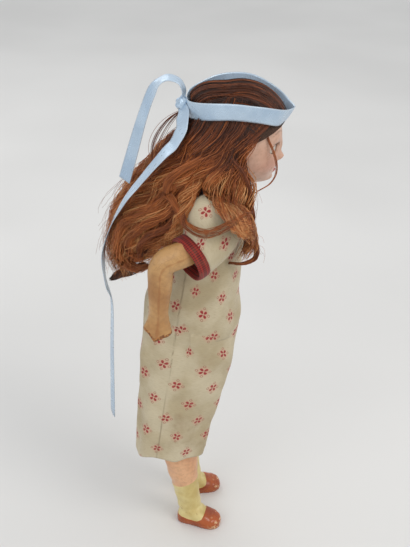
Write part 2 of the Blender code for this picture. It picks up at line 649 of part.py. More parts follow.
def foot_ring(t, heel, forward, sideways, sides=16):
    """A slice of the shoe at t from heel to toe, flat underneath."""
    half_width, height = through([
        (0.0, 0.45 * FOOT_HALF_WIDTH, 0.75 * HEEL_HEIGHT),
        (0.10, 0.80 * FOOT_HALF_WIDTH, HEEL_HEIGHT),
        (0.30, 0.88 * FOOT_HALF_WIDTH, INSTEP_HEIGHT),
        (0.50, 0.95 * FOOT_HALF_WIDTH, 0.85 * INSTEP_HEIGHT),
        (0.78, FOOT_HALF_WIDTH, 1.15 * TOE_HEIGHT),
        (0.93, 0.82 * FOOT_HALF_WIDTH, TOE_HEIGHT),
        (1.0, 0.40 * FOOT_HALF_WIDTH, 0.70 * TOE_HEIGHT),
    ], t)
    ring = []
    for i in range(sides):
        a = math.tau * i / sides
        up = height * (0.42 + 0.58 * signed_power(math.sin(a), 0.8))
        ring.append(heel + forward * FOOT_LENGTH * t + sideways * half_width * signed_power(math.cos(a), 0.75)
                    + Vector((0, 0, max(0.0, up))))
    return ring


def make_leg(word, side, leg):
    """Thigh, shin and moulded shoe in one piece, with a round flat-sided top on the hip axis."""
    rings = []
    for k in range(5):
        z = LEG_TOP_RADIUS * math.cos(math.radians(8 + 82 * k / 4))
        depth = math.sqrt(LEG_TOP_RADIUS ** 2 - z ** 2)
        rings.append(oval((side * LEG_MIDDLE, 0, z), LEG_HALF_WIDTH, depth, depth, 16, 0.85))
    clear = math.hypot(CROTCH_DROP, HIP_HALF_DEPTH)
    stops = [
        (-clear, LEG_MIDDLE, LEG_HALF_WIDTH, 0.92 * LEG_TOP_RADIUS, 0.0),
        (-1.5 * clear, LEG_MIDDLE, LEG_HALF_WIDTH + 0.0022, THIGH_RADIUS, 0.0),
        (KNEE_HEIGHT - HIP_HEIGHT, LEG_MIDDLE - 0.4 * FEET_INWARD, 0.92 * KNEE_RADIUS, KNEE_RADIUS, 0.0),
        (CALF_HEIGHT - HIP_HEIGHT, LEG_MIDDLE - 0.75 * FEET_INWARD, 0.93 * CALF_RADIUS, CALF_RADIUS, CALF_BACK),
        (ANKLE_HEIGHT - HIP_HEIGHT, FOOT_MIDDLE, 0.90 * ANKLE_RADIUS, ANKLE_RADIUS, -0.001),
        (0.25 * ANKLE_HEIGHT - HIP_HEIGHT, FOOT_MIDDLE, 0.7 * FOOT_HALF_WIDTH, 0.8 * ANKLE_RADIUS, -0.002),
    ]
    low = stops[-1][0]
    for k in range(1, 15):
        z = low * k / 14
        x, half_width, half_depth, back = through([(-s[0], *s[1:]) for s in stops], -z) if -z > clear else (
            LEG_MIDDLE, LEG_HALF_WIDTH, LEG_TOP_RADIUS + (0.92 - 1) * LEG_TOP_RADIUS * eased(-z / clear), 0.0)
        rings.append(oval((side * x, back, z), half_width, half_depth, half_depth, 16))
    limb = add(f"{word}_leg", skin(f"{word}_leg", rings), SKIN, leg)
    forward = Vector((side * math.sin(FOOT_SPLAY), -math.cos(FOOT_SPLAY), 0))
    sideways = Vector((math.cos(FOOT_SPLAY), side * math.sin(FOOT_SPLAY), 0))
    heel = Vector((side * FOOT_MIDDLE, HEEL_BACK, -HIP_HEIGHT)) - Vector((forward.x * HEEL_BACK, 0, 0))
    rows = (0, 0.04, 0.12, 0.22, 0.32, 0.44, 0.56, 0.68, 0.80, 0.90, 0.96, 1.0)
    combine(limb, skin("shoe", [foot_ring(t, heel, forward, sideways) for t in rows]), "UNION")
    string_limb(limb, side, LEG_MIDDLE, word + "_leg")


# Romper

def fold(angle, height, count):
    """Depth of the soft upright folds round a hanging tube, from 1 out to -1 in, drifting as they fall."""
    return math.sin(count * angle + 30 * height) * (0.7 + 0.3 * math.sin(2 * angle + 50 * height))


def bodice_size(z):
    """Half width, front and back of the bodice at a height on the body."""
    shoulder = NECKLINE - 0.35 * (NECKLINE - SHOULDER_HEIGHT)
    middle = (BODICE_WAIST_HALF_WIDTH + BODICE_CHEST_HALF_WIDTH) / 2
    return through([
        (WAIST_SEAM, BODICE_WAIST_HALF_WIDTH, BODICE_WAIST_FRONT, BODICE_WAIST_BACK),
        (0.5 * SHOULDER_HEIGHT, middle, 1.14 * BODICE_CHEST_FRONT, 1.3 * BODICE_CHEST_BACK),
        (0.75 * SHOULDER_HEIGHT, BODICE_CHEST_HALF_WIDTH, 1.05 * BODICE_CHEST_FRONT, 1.1 * BODICE_CHEST_BACK),
        (SHOULDER_HEIGHT, BODICE_CHEST_HALF_WIDTH, BODICE_CHEST_FRONT, BODICE_CHEST_BACK),
        (shoulder, 0.96 * BODICE_CHEST_HALF_WIDTH, 0.88 * BODICE_CHEST_FRONT, 0.88 * BODICE_CHEST_BACK),
        (NECKLINE, NECK_OPENING + CLOTH, NECK_OPENING + CLOTH, NECK_OPENING + CLOTH),
    ], z)


def bodice_ripple(z, angle):
    """Folds of the bodice, which die out towards the chest."""
    loose = 1 - eased((z - 0.5 * SHOULDER_HEIGHT) / (0.3 * SHOULDER_HEIGHT))
    return 0.4 * FOLD_DEPTH * loose * fold(angle, z, FOLDS)


def bodice_rings(inset, rows=8):
    shoulder = NECKLINE - 0.35 * (NECKLINE - SHOULDER_HEIGHT)
    heights = [WAIST_SEAM + (SHOULDER_HEIGHT - WAIST_SEAM) * k / (rows - 1) for k in range(rows)]
    heights += [0.5 * (SHOULDER_HEIGHT + shoulder), shoulder, 0.5 * (shoulder + NECKLINE), NECKLINE]
    rings = []
    for z in heights:
        half_width, front, back = bodice_size(z)
        rings.append(oval((0, 0, z - 0.5 * inset), half_width - inset, front - inset, back - inset, 32, 0.85,
                          partial(bodice_ripple, z)))
    rings[0] = [Vector((p.x, p.y, WAIST_SEAM)) for p in rings[0]]
    return rings


def shell(name, outer, inner):
    """A wall between two sets of rings, open at both ends."""
    return skin(name, outer + inner[::-1], loop=True)


def make_bodice(body):
    cloth = add("romper_bodice", shell("romper_bodice", bodice_rings(0.0), bodice_rings(CLOTH)), CALICO, body)
    for side in (RIGHT, LEFT):
        start, end = side * ARMHOLE_EDGE, side * 2 * BODICE_WAIST_HALF_WIDTH
        combine(cloth, cylinder("armhole", ARMHOLE_RADIUS, start, end, "X", SHOULDER, 28))
    sides = 28
    middle = NECKLINE + CLOTH_GAP + BINDING_WIDTH / 2
    radius = NECK_OPENING + CLOTH / 2
    rings = []
    for i in range(sides):
        a = math.tau * i / sides
        outward = Vector((math.cos(a), math.sin(a), 0))
        rings.append([outward * (radius + BINDING_THICKNESS / 2 * math.cos(e))
                      + Vector((0, 0, middle + BINDING_WIDTH / 2 * math.sin(e)))
                      for e in (math.tau * k / 6 for k in range(6))])
    add("neck_binding", skin("neck_binding", rings, loop=True), GINGHAM, body)
    for number, height in enumerate(BUTTON_HEIGHTS, 1):
        under = [height + BUTTON_RADIUS * t for t in (-1, -0.5, 0, 0.5, 1)]
        back = max(bodice_size(z)[2] + bodice_ripple(z, math.pi / 2) for z in under) + FIT_GAP
        rim = 0.8 * BUTTON_RADIUS
        profile = [(rim, back), (BUTTON_RADIUS, back + 0.3 * BUTTON_THICKNESS),
                   (BUTTON_RADIUS, back + 0.7 * BUTTON_THICKNESS), (rim, back + BUTTON_THICKNESS)]
        name = f"back_button_{number}"
        add(name, turned(name, profile, "Y", 16, (0, 0, height)), BUTTON, body)


def trouser_rings(side, inset, rows=9, sides=30):
    """Slices of one leg: round outside, flat towards its pair, with folds that deepen to the hem."""
    top = HIP_HEIGHT + WAIST_SEAM + TROUSER_WAIST_FRONT
    rings = []
    for k in range(rows):
        z = HEM_HEIGHT + (top - HEM_HEIGHT) * k / (rows - 1)
        t = min(1.0, (z - HEM_HEIGHT) / (HIP_HEIGHT + WAIST_SEAM - HEM_HEIGHT))
        front = TROUSER_HEM_FRONT + (TROUSER_WAIST_FRONT - TROUSER_HEM_FRONT) * eased(t)
        back = TROUSER_HEM_BACK + (TROUSER_WAIST_BACK - TROUSER_HEM_BACK) * t
        half_width = TROUSER_HEM_HALF_WIDTH + (TROUSER_WAIST_HALF_WIDTH - TROUSER_HEM_HALF_WIDTH) * t
        depth = FOLD_DEPTH * (1 - 0.7 * t)
        ring = []
        for i in range(sides):
            a = math.tau * i / sides
            outer = math.cos(a) > 0
            power = 0.8 if outer else 0.60 - 0.35 * t
            wave = depth * fold(a, z, FOLDS) * eased(math.cos(a) + 0.6) - inset
            x = TROUSER_MIDLINE + half_width + (half_width + wave) * signed_power(math.cos(a), power)
            y = (back - front) / 2 + ((back + front) / 2 + wave) * signed_power(math.sin(a), power)
            ring.append(Vector((side * x, y, z - HIP_HEIGHT)))
        rings.append(ring)
    return rings


def make_trouser_leg(word, side, leg):
    """A wide straight leg that is open towards its pair above the crotch, where the body passes."""
    name = f"romper_{word}_leg"
    cloth = add(name, shell(name, trouser_rings(side, 0.0), trouser_rings(side, CLOTH)), CALICO, leg)
    rise = -CROTCH_DROP - JOINT_GAP - CLOTH
    wide = 4 * TROUSER_HEM_HALF_WIDTH
    waist = WAIST_SEAM - CLOTH_GAP
    tilt = Matrix.Rotation(TORSO_LEAN, 4, "X")
    above = block("above_waist", (-wide, -wide, waist), (wide, wide, waist + wide))
    above.transform(tilt)
    combine(cloth, above)
    inner = side * (TROUSER_MIDLINE + TROUSER_WAIST_HALF_WIDTH)
    back = HIP_HALF_DEPTH + 2 * JOINT_GAP
    front = back + WAIST_SEAM * math.sin(TORSO_LEAN)
    low, high = sorted((side * -TROUSER_MIDLINE, inner))
    combine(cloth, block("gusset", (low, -front, rise), (high, back, wide)))


def sleeve_ring(side, t, radius):
    """A ring of the sleeve from the armhole at t = 0 to the cuff at t = 1, in the hanging arm's frame."""
    start = Vector((side * (ARMHOLE_EDGE + CLOTH_GAP), 0, 0))
    tilt = CUFF_TILT * t * t
    reach = SLEEVE_LENGTH * t
    centre = start + Vector((side * 0.95 * reach, 0, -reach * t * t))
    up = Vector((side * math.sin(tilt), 0, math.cos(tilt)))
    return [centre + radius * (up * math.cos(a) + Vector((0, math.sin(a), 0)))
            for a in (math.tau * i / 22 for i in range(22))]


def make_sleeve(word, side, arm):
    """A short wide sleeve and the bound edge of its opening."""
    rows = 4
    first = ARMHOLE_RADIUS - CLOTH - CLOTH_GAP
    outer = []
    for k in range(rows):
        t = k / (rows - 1)
        outer.append((t, first + (CUFF_RADIUS - first) * t + CLOTH * math.sin(math.pi * t)))
    name = f"{word}_sleeve"
    rings = [sleeve_ring(side, t, r) for t, r in outer]
    inner = [sleeve_ring(side, t, r - CLOTH) for t, r in outer]
    add(name, shell(name, rings, inner), CALICO, arm)
    axis = Vector((side * math.cos(CUFF_TILT), 0, -math.sin(CUFF_TILT)))
    edge = sleeve_ring(side, 1.0, CUFF_RADIUS - CLOTH / 2)
    centre = sum(edge, Vector()) / len(edge)
    rings = []
    for point in edge:
        outward = (point - centre).normalized()
        middle = point + axis * (CLOTH_GAP + BINDING_WIDTH / 2)
        rings.append([middle + outward * BINDING_THICKNESS / 2 * math.cos(e) + axis * BINDING_WIDTH / 2 * math.sin(e)
                      for e in (math.tau * k / 6 for k in range(6))])
    name = f"{word}_sleeve_binding"
    add(name, skin(name, rings, loop=True), GINGHAM, arm)


# Wig and ribbon

def cap_rows(lift, angle, rows, sides=24):
    """Rings over the skull out to an angle from an axis that tilts back from the crown."""
    tilt = Matrix.Rotation(-HAIRLINE_TILT, 3, "X")
    rings = []
    for k in range(rows + 1):
        polar = angle * k / rows
        count = sides if k else 1
        ring = []
        for i in range(count):
            a = math.tau * i / count
            d = tilt @ Vector((math.sin(polar) * math.cos(a), math.sin(polar) * math.sin(a), math.cos(polar)))
            height = SKULL_TOP if d.z > 0 else CHIN_DROP
            ring.append(Vector((d.x * (SKULL_HALF_WIDTH + lift), d.y * (SKULL_BACK + lift), d.z * (height + lift))))
        rings.append(ring)
    return rings


def cap(name, low, high, angle, rows=6):
    return skin(name, cap_rows(high, angle, rows) + cap_rows(low, angle, rows)[::-1])


def lock(name, points, sizes, parent, sides, steps=12):
    """A body of hair: a flattened tube along a smooth path."""
    path = smooth_path(points, steps)
    stops = [(k / (len(sizes) - 1), *size) for k, size in enumerate(sizes)]
    sizes = [through(stops, k / (steps - 1)) for k in range(steps)]
    add(name, swept(name, path, sizes, sides=sides, round_ends=True), HAIR, parent)


def make_wig(skull):
    cap_top = WIG_CAP_LIFT + WIG_CAP_THICKNESS
    add("wig_cap", cap("wig_cap", WIG_CAP_LIFT, cap_top, HAIRLINE_ANGLE), NET, skull)
    add("hair_crown", cap("hair_crown", cap_top + FIT_GAP, HAIR_LIFT, HAIRLINE_ANGLE), HAIR, skull)
    lock("hair_fall_back", [(0, HAIR_BACK + out, z) for out, z, *_ in HAIR_FALL],
         [size for _, _, *size in HAIR_FALL], skull, 20)
    for word, side in SIDES.items():
        lock(f"hair_fall_{word}", [(side * (HAIR_SIDE + out), y, z) for out, y, z, *_ in SIDE_LOCK],
             [size for _, _, _, *size in SIDE_LOCK], skull, 12)


def on_band(x, y, z):
    """A point given in the plane of the tilted headband, which arches up over the sides of the head."""
    arch = BAND_ARCH * max(0.0, 1 - (y / BAND_HALF_LENGTH) ** 2)
    return Matrix.Rotation(-BAND_TILT, 3, "X") @ Vector((x, y, z + arch)) + Vector((0, BAND_BACK, BAND_HEIGHT))


def make_ribbon(skull):
    half = RIBBON_WIDTH / 2
    rings = []
    for z, inset in ((-half, 0), (half, 0), (half, RIBBON_THICKNESS), (-half, RIBBON_THICKNESS)):
        length = BAND_HALF_LENGTH - inset
        ring = oval((0, 0, z), BAND_HALF_WIDTH - inset, length, length, 40)
        rings.append([on_band(*point) for point in ring])
    add("ribbon_band", skin("ribbon_band", rings, loop=True), SATIN, skull)
    _, knot_depth, knot_height = KNOT_HALF_SIZES
    knot = on_band(0, BAND_HALF_LENGTH + FIT_GAP + knot_depth, 0)
    add("ribbon_knot", ball("ribbon_knot", 1.0, knot, 16, KNOT_HALF_SIZES), SATIN, skull)
    leave = knot + Vector((0, knot_depth + FIT_GAP + RIBBON_THICKNESS, 0))
    short = [leave + Vector((0, y, z)) for y, z in SHORT_TAIL]
    add("ribbon_tail_short", ribbon("ribbon_tail_short", smooth_path(short, 24)), SATIN, skull)
    lie = []
    for out, z, half_width, thick, wrap in HAIR_FALL[1:-1]:
        bend = wrap * (TAIL_ASIDE / half_width) ** 2
        lie.append(Vector((-TAIL_ASIDE, HAIR_BACK + out + thick + TAIL_LIFT - bend, z)))
    start = knot + Vector((0, 0.8 * knot_depth, -knot_height - FIT_GAP - RIBBON_THICKNESS))
    long = [start] + lie
    down = Vector((0, -math.sin(TORSO_LEAN), -math.cos(TORSO_LEAN)))
    long += [long[-1] + down * LONG_TAIL_HANG * t for t in (0.3, 0.65, 1.0)]
    add("ribbon_tail_long", ribbon("ribbon_tail_long", smooth_path(long, 30)), SATIN, skull)


def build():
    clear_scene()
    torso = frame("torso_frame", None, (0, 0, HIP_HEIGHT), TORSO_LEAN)
    neck = frame("neck_frame", torso, (0, 0, NECK_HEIGHT))
    skull = frame("skull_frame", neck, (0, -HEAD_FORWARD, HEAD_ABOVE_NECK))
    eyes = frame("eye_frame", skull, (0, -EYE_DEPTH, -EYE_DROP))
    make_torso(torso)
    make_stringing(torso)
    make_bodice(torso)
    make_head(skull, neck)
    make_eyes(eyes)
    make_wig(skull)
    make_ribbon(skull)
    swings = {RIGHT: RIGHT_ARM_BACK, LEFT: LEFT_ARM_BACK}
    for word, side in SIDES.items():
        arm = frame(f"{word}_shoulder", torso, SHOULDER, swings[side] - TORSO_LEAN)
        make_arm(word, side, arm)
        make_sleeve(word, side, arm)
        leg = frame(f"{word}_hip", None, (0, 0, HIP_HEIGHT))
        make_leg(word, side, leg)
        make_trouser_leg(word, side, leg)


build()
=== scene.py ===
"""A worn papier-mache doll with a long auburn wig, a satin ribbon and a printed cotton romper."""
import math

import bmesh
import bpy
import numpy as np
from mathutils import Matrix, Vector


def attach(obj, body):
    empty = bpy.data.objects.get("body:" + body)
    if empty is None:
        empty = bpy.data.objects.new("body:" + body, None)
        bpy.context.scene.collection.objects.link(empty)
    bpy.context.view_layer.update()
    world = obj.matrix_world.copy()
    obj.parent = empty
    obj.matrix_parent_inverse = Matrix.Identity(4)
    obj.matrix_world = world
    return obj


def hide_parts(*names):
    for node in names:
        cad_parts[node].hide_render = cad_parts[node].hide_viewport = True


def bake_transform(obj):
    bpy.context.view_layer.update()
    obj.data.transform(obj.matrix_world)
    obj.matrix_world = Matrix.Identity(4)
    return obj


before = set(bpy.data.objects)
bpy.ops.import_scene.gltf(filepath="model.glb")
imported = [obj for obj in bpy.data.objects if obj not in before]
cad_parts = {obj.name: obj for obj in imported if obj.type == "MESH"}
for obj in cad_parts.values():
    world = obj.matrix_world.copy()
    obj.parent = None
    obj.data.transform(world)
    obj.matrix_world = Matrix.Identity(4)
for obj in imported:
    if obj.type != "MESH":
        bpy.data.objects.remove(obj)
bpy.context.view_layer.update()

# Stance and frames, in metres, as in the part
LEAN = math.radians(7.5)
HIP_Z = 0.150
SHOULDER = np.array((0.0, -0.0034, 0.0945))
SKULL = np.array((0.0, -0.006, 0.141))
ARM_BACK = {-1: math.radians(65.4), 1: math.radians(27)}
WORDS = {-1: "right", 1: "left"}
MM = 0.001
HIP = 150   # height of the hip axis in millimetres


def about_x(angle):
    c, s = math.cos(angle), math.sin(angle)
    return np.array(((1, 0, 0), (0, c, -s), (0, s, c)))


def from_torso(points):
    return np.asarray(points) @ about_x(LEAN).T + (0, 0, HIP_Z)


def from_skull(points):
    return from_torso(np.asarray(points) + SKULL)


def from_arm(points, side):
    return from_torso(np.asarray(points) @ about_x(ARM_BACK[side] - LEAN).T + SHOULDER)


# Small mathematics

def eased(t):
    t = np.clip(t, 0.0, 1.0)
    return t * t * (3 - 2 * t)


def unit(vectors):
    """The same directions at length one."""
    return vectors / np.maximum(np.linalg.norm(vectors, axis=-1, keepdims=True), 1e-6)


def square_to(vectors, along):
    """Unit vectors square to other unit vectors, nearest to the given ones."""
    return unit(vectors - (vectors * along).sum(-1, keepdims=True) * along)


def circle(count):
    """Equal steps once round, in radians."""
    return np.linspace(0, math.tau, count, endpoint=False)


def through(stops, at):
    """Smoothly interpolated values between (position, value, ...) stops, for an array of positions."""
    at = np.asarray(at, float)
    stops = np.asarray(stops, float)
    k = np.clip(np.searchsorted(stops[:, 0], at) - 1, 0, len(stops) - 2)
    t = eased((at - stops[k, 0]) / (stops[k + 1, 0] - stops[k, 0]))[..., None]
    return stops[k, 1:] * (1 - t) + stops[k + 1, 1:] * t


def spline(points, at):
    """Points on a smooth curve through control points (n, ...), at positions from 0 to n - 1."""
    points = np.asarray(points, float)
    ends = np.concatenate([2 * points[:1] - points[1:2], points, 2 * points[-1:] - points[-2:-1]])
    at = np.asarray(at, float)
    i = np.clip(at.astype(int), 0, len(points) - 2)
    u = (at - i).reshape(at.shape + (1,) * (points.ndim - 1))
    a, b, c, d = ends[i], ends[i + 1], ends[i + 2], ends[i + 3]
    return 0.5 * (2 * b + (c - a) * u + (2 * a - 5 * b + 4 * c - d) * u ** 2 + (3 * b - a - 3 * c + d) * u ** 3)


def power(value, exponent):
    return np.copysign(np.abs(value) ** exponent, value)


def bump(x, z, x0, z0, wide, tall):
    return np.exp(-((x - x0) / wide) ** 2 - ((z - z0) / tall) ** 2)


class Waves:
    """A smooth random field: plane waves of similar length in all directions, from -1 to 1."""

    def __init__(self, seed, length):
        count = 9
        rng = np.random.default_rng(seed)
        way = unit(rng.normal(size=(count, 3)))
        self.way = way * (math.tau / length) * rng.uniform(0.6, 1.5, (count, 1))
        self.phase = rng.uniform(0, math.tau, count)

    def __call__(self, points):
        return np.sin(np.asarray(points) @ self.way.T + self.phase).sum(-1) / len(self.phase) * 1.8


# Meshes

def grid_index(rows, cols, loop):
    """The row, column and next row of each quad of a grid; loop joins its last row to the first."""
    i = np.arange(rows if loop else rows - 1)
    i, j = (a.ravel() for a in np.meshgrid(i, np.arange(cols), indexing="ij"))
    return i, j, (i + 1) % rows


def grid_faces(rows, cols, loop=False):
    """Quads of a grid of rows by cols points, with the last column joined to the first."""
    i, j, k = grid_index(rows, cols, loop)
    l = (j + 1) % cols
    return np.stack([i * cols + j, i * cols + l, k * cols + l, k * cols + j], 1)


def raw_mesh(name, points, faces):
    """A mesh from arrays of points and of quads or triangles."""
    mesh = bpy.data.meshes.new(name)
    faces = np.asarray(faces, np.int32)
    mesh.vertices.add(len(points))
    mesh.vertices.foreach_set("co", np.asarray(points, np.float32).ravel())
    mesh.loops.add(faces.size)
    mesh.loops.foreach_set("vertex_index", faces.ravel())
    mesh.polygons.add(len(faces))
    mesh.polygons.foreach_set("loop_start", np.arange(0, faces.size, faces.shape[1], dtype=np.int32))
    mesh.update(calc_edges=True)
    return mesh


def outward(mesh, close=False):
    """Faces turned outwards, and flat ends filled where asked."""
    bm = bmesh.new()
    bm.from_mesh(mesh)
    if close:
        bmesh.ops.holes_fill(bm, edges=[e for e in bm.edges if e.is_boundary], sides=0)
    bmesh.ops.recalc_face_normals(bm, faces=bm.faces)
    bm.to_mesh(mesh)
    bm.free()
    return mesh


def solid(name, points):
    """A closed mesh from a grid of points (rows, cols, 3) that wraps round, with both ends filled."""
    return outward(raw_mesh(name, points.reshape(-1, 3), grid_faces(*points.shape[:2])), close=True)


def halves(quads):
    """Two triangles from each quad."""
    return np.concatenate([quads[:, [0, 1, 2]], quads[:, [0, 2, 3]]])


def linked(name, data):
    """A new object in the scene."""
    item = bpy.data.objects.new(name, data)
    bpy.context.collection.objects.link(item)
    return item


def piece(name, mesh, material, body, nodes):
    """A finished mesh that takes the place of nodes, and rides on a body when one is given."""
    item = linked(name, mesh)
    mesh.shade_smooth()
    mesh.materials.append(material)
    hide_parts(*nodes)
    if body:
        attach(item, body)
    return item


def mark(mesh, name, values):
    """A number at each point, for a material to read."""
    mesh.attributes.new(name, "FLOAT", "POINT").data.foreach_set("value", np.asarray(values, np.float32).ravel())


def lay_uv(mesh, uv):
    """Cloth coordinates in metres, one pair for each corner of each face."""
    mesh.uv_layers.new(name="cloth").data.foreach_set("uv", np.asarray(uv, np.float32).ravel())


def grid_uv(rows, cols, u, v, loop=False):
    """Corner coordinates for grid_faces: v of each row or point, and u of each column's two sides, (cols, 2)."""
    i, j, k = grid_index(rows, cols, loop)
    corners = [(i, 0), (i, 1), (k, 1), (k, 0)]
    if v.ndim == 1:
        v = np.repeat(v[:, None], cols, 1)
    return np.stack([np.stack([u[j, b], v[a, (j + b) % cols]], 1) for a, b in corners], 1)


def both_sides(u):
    """The two sides of each column from values at its edges."""
    return np.stack([u[:-1], u[1:]], 1)


def turned_uv(uv, tilt, shift):
    c, s = math.cos(tilt), math.sin(tilt)
    return uv @ np.array(((c, -s), (s, c))) + shift


def baked(item):
    """The item's mesh with its modifiers applied."""
    bpy.context.view_layer.update()
    graph = bpy.context.evaluated_depsgraph_get()
    return bpy.data.meshes.new_from_object(item.evaluated_get(graph))


def cut(mesh, *tools):
    """Boolean operations on a mesh: each tool is (operation, mesh)."""
    item = linked("work", mesh)
    helpers = []
    for operation, shape in tools:
        helpers.append(linked("tool", shape))
        modifier = item.modifiers.new(operation, "BOOLEAN")
        modifier.operation = operation
        modifier.object = helpers[-1]
    result = baked(item)
    for helper in helpers + [item]:
        bpy.data.objects.remove(helper, do_unlink=True)
    return result


def remeshed(meshes, voxel, smooth):
    """Several closed meshes joined into one skin."""
    bm = bmesh.new()
    for mesh in meshes:
        bm.from_mesh(mesh)
    joined = bpy.data.meshes.new("joined")
    bm.to_mesh(joined)
    bm.free()
    item = linked("work", joined)
    modifier = item.modifiers.new("join", "REMESH")
    modifier.mode = "VOXEL"
    modifier.voxel_size = voxel
    modifier = item.modifiers.new("even", "SMOOTH")
    modifier.factor = 0.5
    modifier.iterations = smooth
    result = baked(item)
    bpy.data.objects.remove(item, do_unlink=True)
    return result


def coords(mesh):
    points = np.empty(len(mesh.vertices) * 3, np.float32)
    mesh.vertices.foreach_get("co", points)
    return points.reshape(-1, 3).astype(float)


def set_coords(mesh, points):
    mesh.vertices.foreach_set("co", np.asarray(points, np.float32).ravel())
    mesh.update()


def normals(mesh):
    out = np.empty(len(mesh.vertices) * 3, np.float32)
    mesh.vertices.foreach_get("normal", out)
    return out.reshape(-1, 3).astype(float)


def tube_frames(path, side=(1, 0, 0)):
    """Directions along, across and normal to a path (n, 3), with across kept near the given side."""
    along = unit(np.gradient(path, axis=0))
    across = square_to(np.asarray(side, float), along)
    return along, across, np.cross(along, across)


def shell_mesh(name, outer, inner, u, v, tilt=0.0, shift=(0, 0)):
    """A wall between two grids (rows, cols, 3) that wrap round, open at both ends, with cloth coordinates."""
    rows, cols = outer.shape[:2]
    points = np.concatenate([outer, inner[::-1]]).reshape(-1, 3)
    mesh = raw_mesh(name, points, grid_faces(2 * rows, cols, True))
    lay_uv(mesh, turned_uv(grid_uv(2 * rows, cols, u, np.concatenate([v, v[::-1]]), True), tilt, shift))
    # The inner wall is marked so that the cloth can paint it darker, as painted shade inside the shell
    mark(mesh, "inside", np.repeat((0.0, 1.0), rows * cols))
    return outward(mesh)


def arc_u(ring):
    """Length round a closed ring of points from its first point, with the full length last."""
    steps = np.linalg.norm(np.roll(ring, -1, 0) - ring, axis=1)
    return np.concatenate([[0.0], np.cumsum(steps)])


# Materials

def srgb(r, g, b):
    """A colour written as seen, in 0 to 255, for a shader."""
    c = np.array((r, g, b)) / 255
    return (*np.where(c <= 0.04045, c / 12.92, ((c + 0.055) / 1.055) ** 2.4), 1.0)


class Finish:
    """A material whose nodes are added one call at a time; each call gives the socket of its result."""

    def __init__(self, name, rough=0.5, **inputs):
        self.material = bpy.data.materials.new(name)
        self.material.use_nodes = True
        self.tree = self.material.node_tree
        self.shader = self.tree.nodes["Principled BSDF"]
        self.shader.inputs["Roughness"].default_value = rough
        for key, value in inputs.items():
            self.shader.inputs[key.replace("_", " ")].default_value = value

    def add(self, kind, inputs=None, out=0, **settings):
        node = self.tree.nodes.new("ShaderNode" + kind)
        for key, value in settings.items():
            setattr(node, key, value)
        for key, value in (inputs or {}).items():
            self.feed(node.inputs[key], value)
        return node.outputs[out]

    def feed(self, socket, value):
        if isinstance(value, bpy.types.NodeSocket):
            self.tree.links.new(value, socket)
        else:
            socket.default_value = value

    def math(self, operation, a, b=0.0, c=0.0):
        return self.add("Math", {0: a, 1: b, 2: c}, operation=operation)

    def attribute(self, name):
        return self.add("Attribute", attribute_name=name, out=2)

    def place(self):
        return self.add("TexCoord", out=3)

    def cloth(self):
        return self.add("UVMap", uv_map="cloth")

    def split(self, vector):
        """The x, y and z of a vector."""
        node = self.tree.nodes.new("ShaderNodeSeparateXYZ")
        self.feed(node.inputs[0], vector)
        return node.outputs

    def noise(self, scale, detail=3.0, rough=0.5):
        inputs = {"Scale": scale, "Detail": detail, "Roughness": rough, "Vector": self.place()}
        return self.add("TexNoise", inputs)

    def threads(self, across, along):
        """Noise drawn out along the cloth."""
        vector = self.add("Mapping", {"Vector": self.cloth(), "Scale": (across, along, 1)})
        return self.add("TexNoise", {"Vector": vector, "Scale": 1.0})

    def cells(self, scale):
        return self.add("TexVoronoi", {"Scale": scale, "Vector": self.place()}, feature="DISTANCE_TO_EDGE")

    def between(self, value, low, high, to_low=0.0, to_high=1.0):
        inputs = {"Value": value, "From Min": low, "From Max": high, "To Min": to_low, "To Max": to_high}
        return self.add("MapRange", inputs, interpolation_type="SMOOTHSTEP")

    def mix(self, share, a, b):
        node = self.tree.nodes.new("ShaderNodeMix")
        node.data_type = "RGBA"
        self.feed(node.inputs["Factor"], share)
        self.feed(node.inputs["A"], a)
        self.feed(node.inputs["B"], b)
        return node.outputs["Result"]

    def relief(self, height, distance, strength=1.0, under=None):
        inputs = {"Height": height, "Distance": distance, "Strength": strength}
        if under is not None:
            inputs["Normal"] = under
        return self.add("Bump", inputs)

    def done(self, colour, roughness=None, normal=None):
        self.feed(self.shader.inputs["Base Color"], colour)
        if roughness is not None:
            self.feed(self.shader.inputs["Roughness"], roughness)
        if normal is not None:
            self.feed(self.shader.inputs["Normal"], normal)
        return self.material


def painted_skin(name, light, dark, gloss):
    """Varnished flesh paint over papier-mache: mottled, finely crazed, rubbed brown in places."""
    f = Finish(name, gloss, Coat_Weight=0.12, Coat_Roughness=0.25)
    cloud = f.between(f.noise(55, 5), 0.35, 0.68)
    colour = f.mix(cloud, light, dark)
    fine = f.between(f.noise(420, 3), 0.4, 0.7, 0.0, 0.18)
    colour = f.mix(fine, colour, srgb(112, 74, 46))
    worn = f.between(f.noise(140, 6, rough=0.65), 0.63, 0.72, 0.0, 0.75)
    colour = f.mix(worn, colour, srgb(142, 98, 60))
    craze = f.between(f.cells(260), 0.0, 0.035, 1.0, 0.0)
    masked = f.math("MULTIPLY", craze, f.between(f.noise(40, 2), 0.5, 0.62, 0.0, 0.22))
    colour = f.mix(masked, colour, srgb(84, 56, 38))
    rough = f.between(f.noise(90, 4), 0.3, 0.7, gloss - 0.08, gloss + 0.16)
    normal = f.relief(f.noise(300, 4), 0.0003, 0.25)
    return f, colour, rough, normal


# Camera, light and floor

CAMERA_PLACE, CAMERA_FORWARD, CAMERA_UP = (-0.459, 0.001, 0.4554), (0.8704, -0.0172, -0.4921), (0.4924, 0.0304, 0.8698)
SENSOR, FOCAL_PIXELS, PHOTO_PIXELS = 24.0, 840, 547   # height of the sensor, focal length, height of the photograph
FLOOR_HALF = 4.0


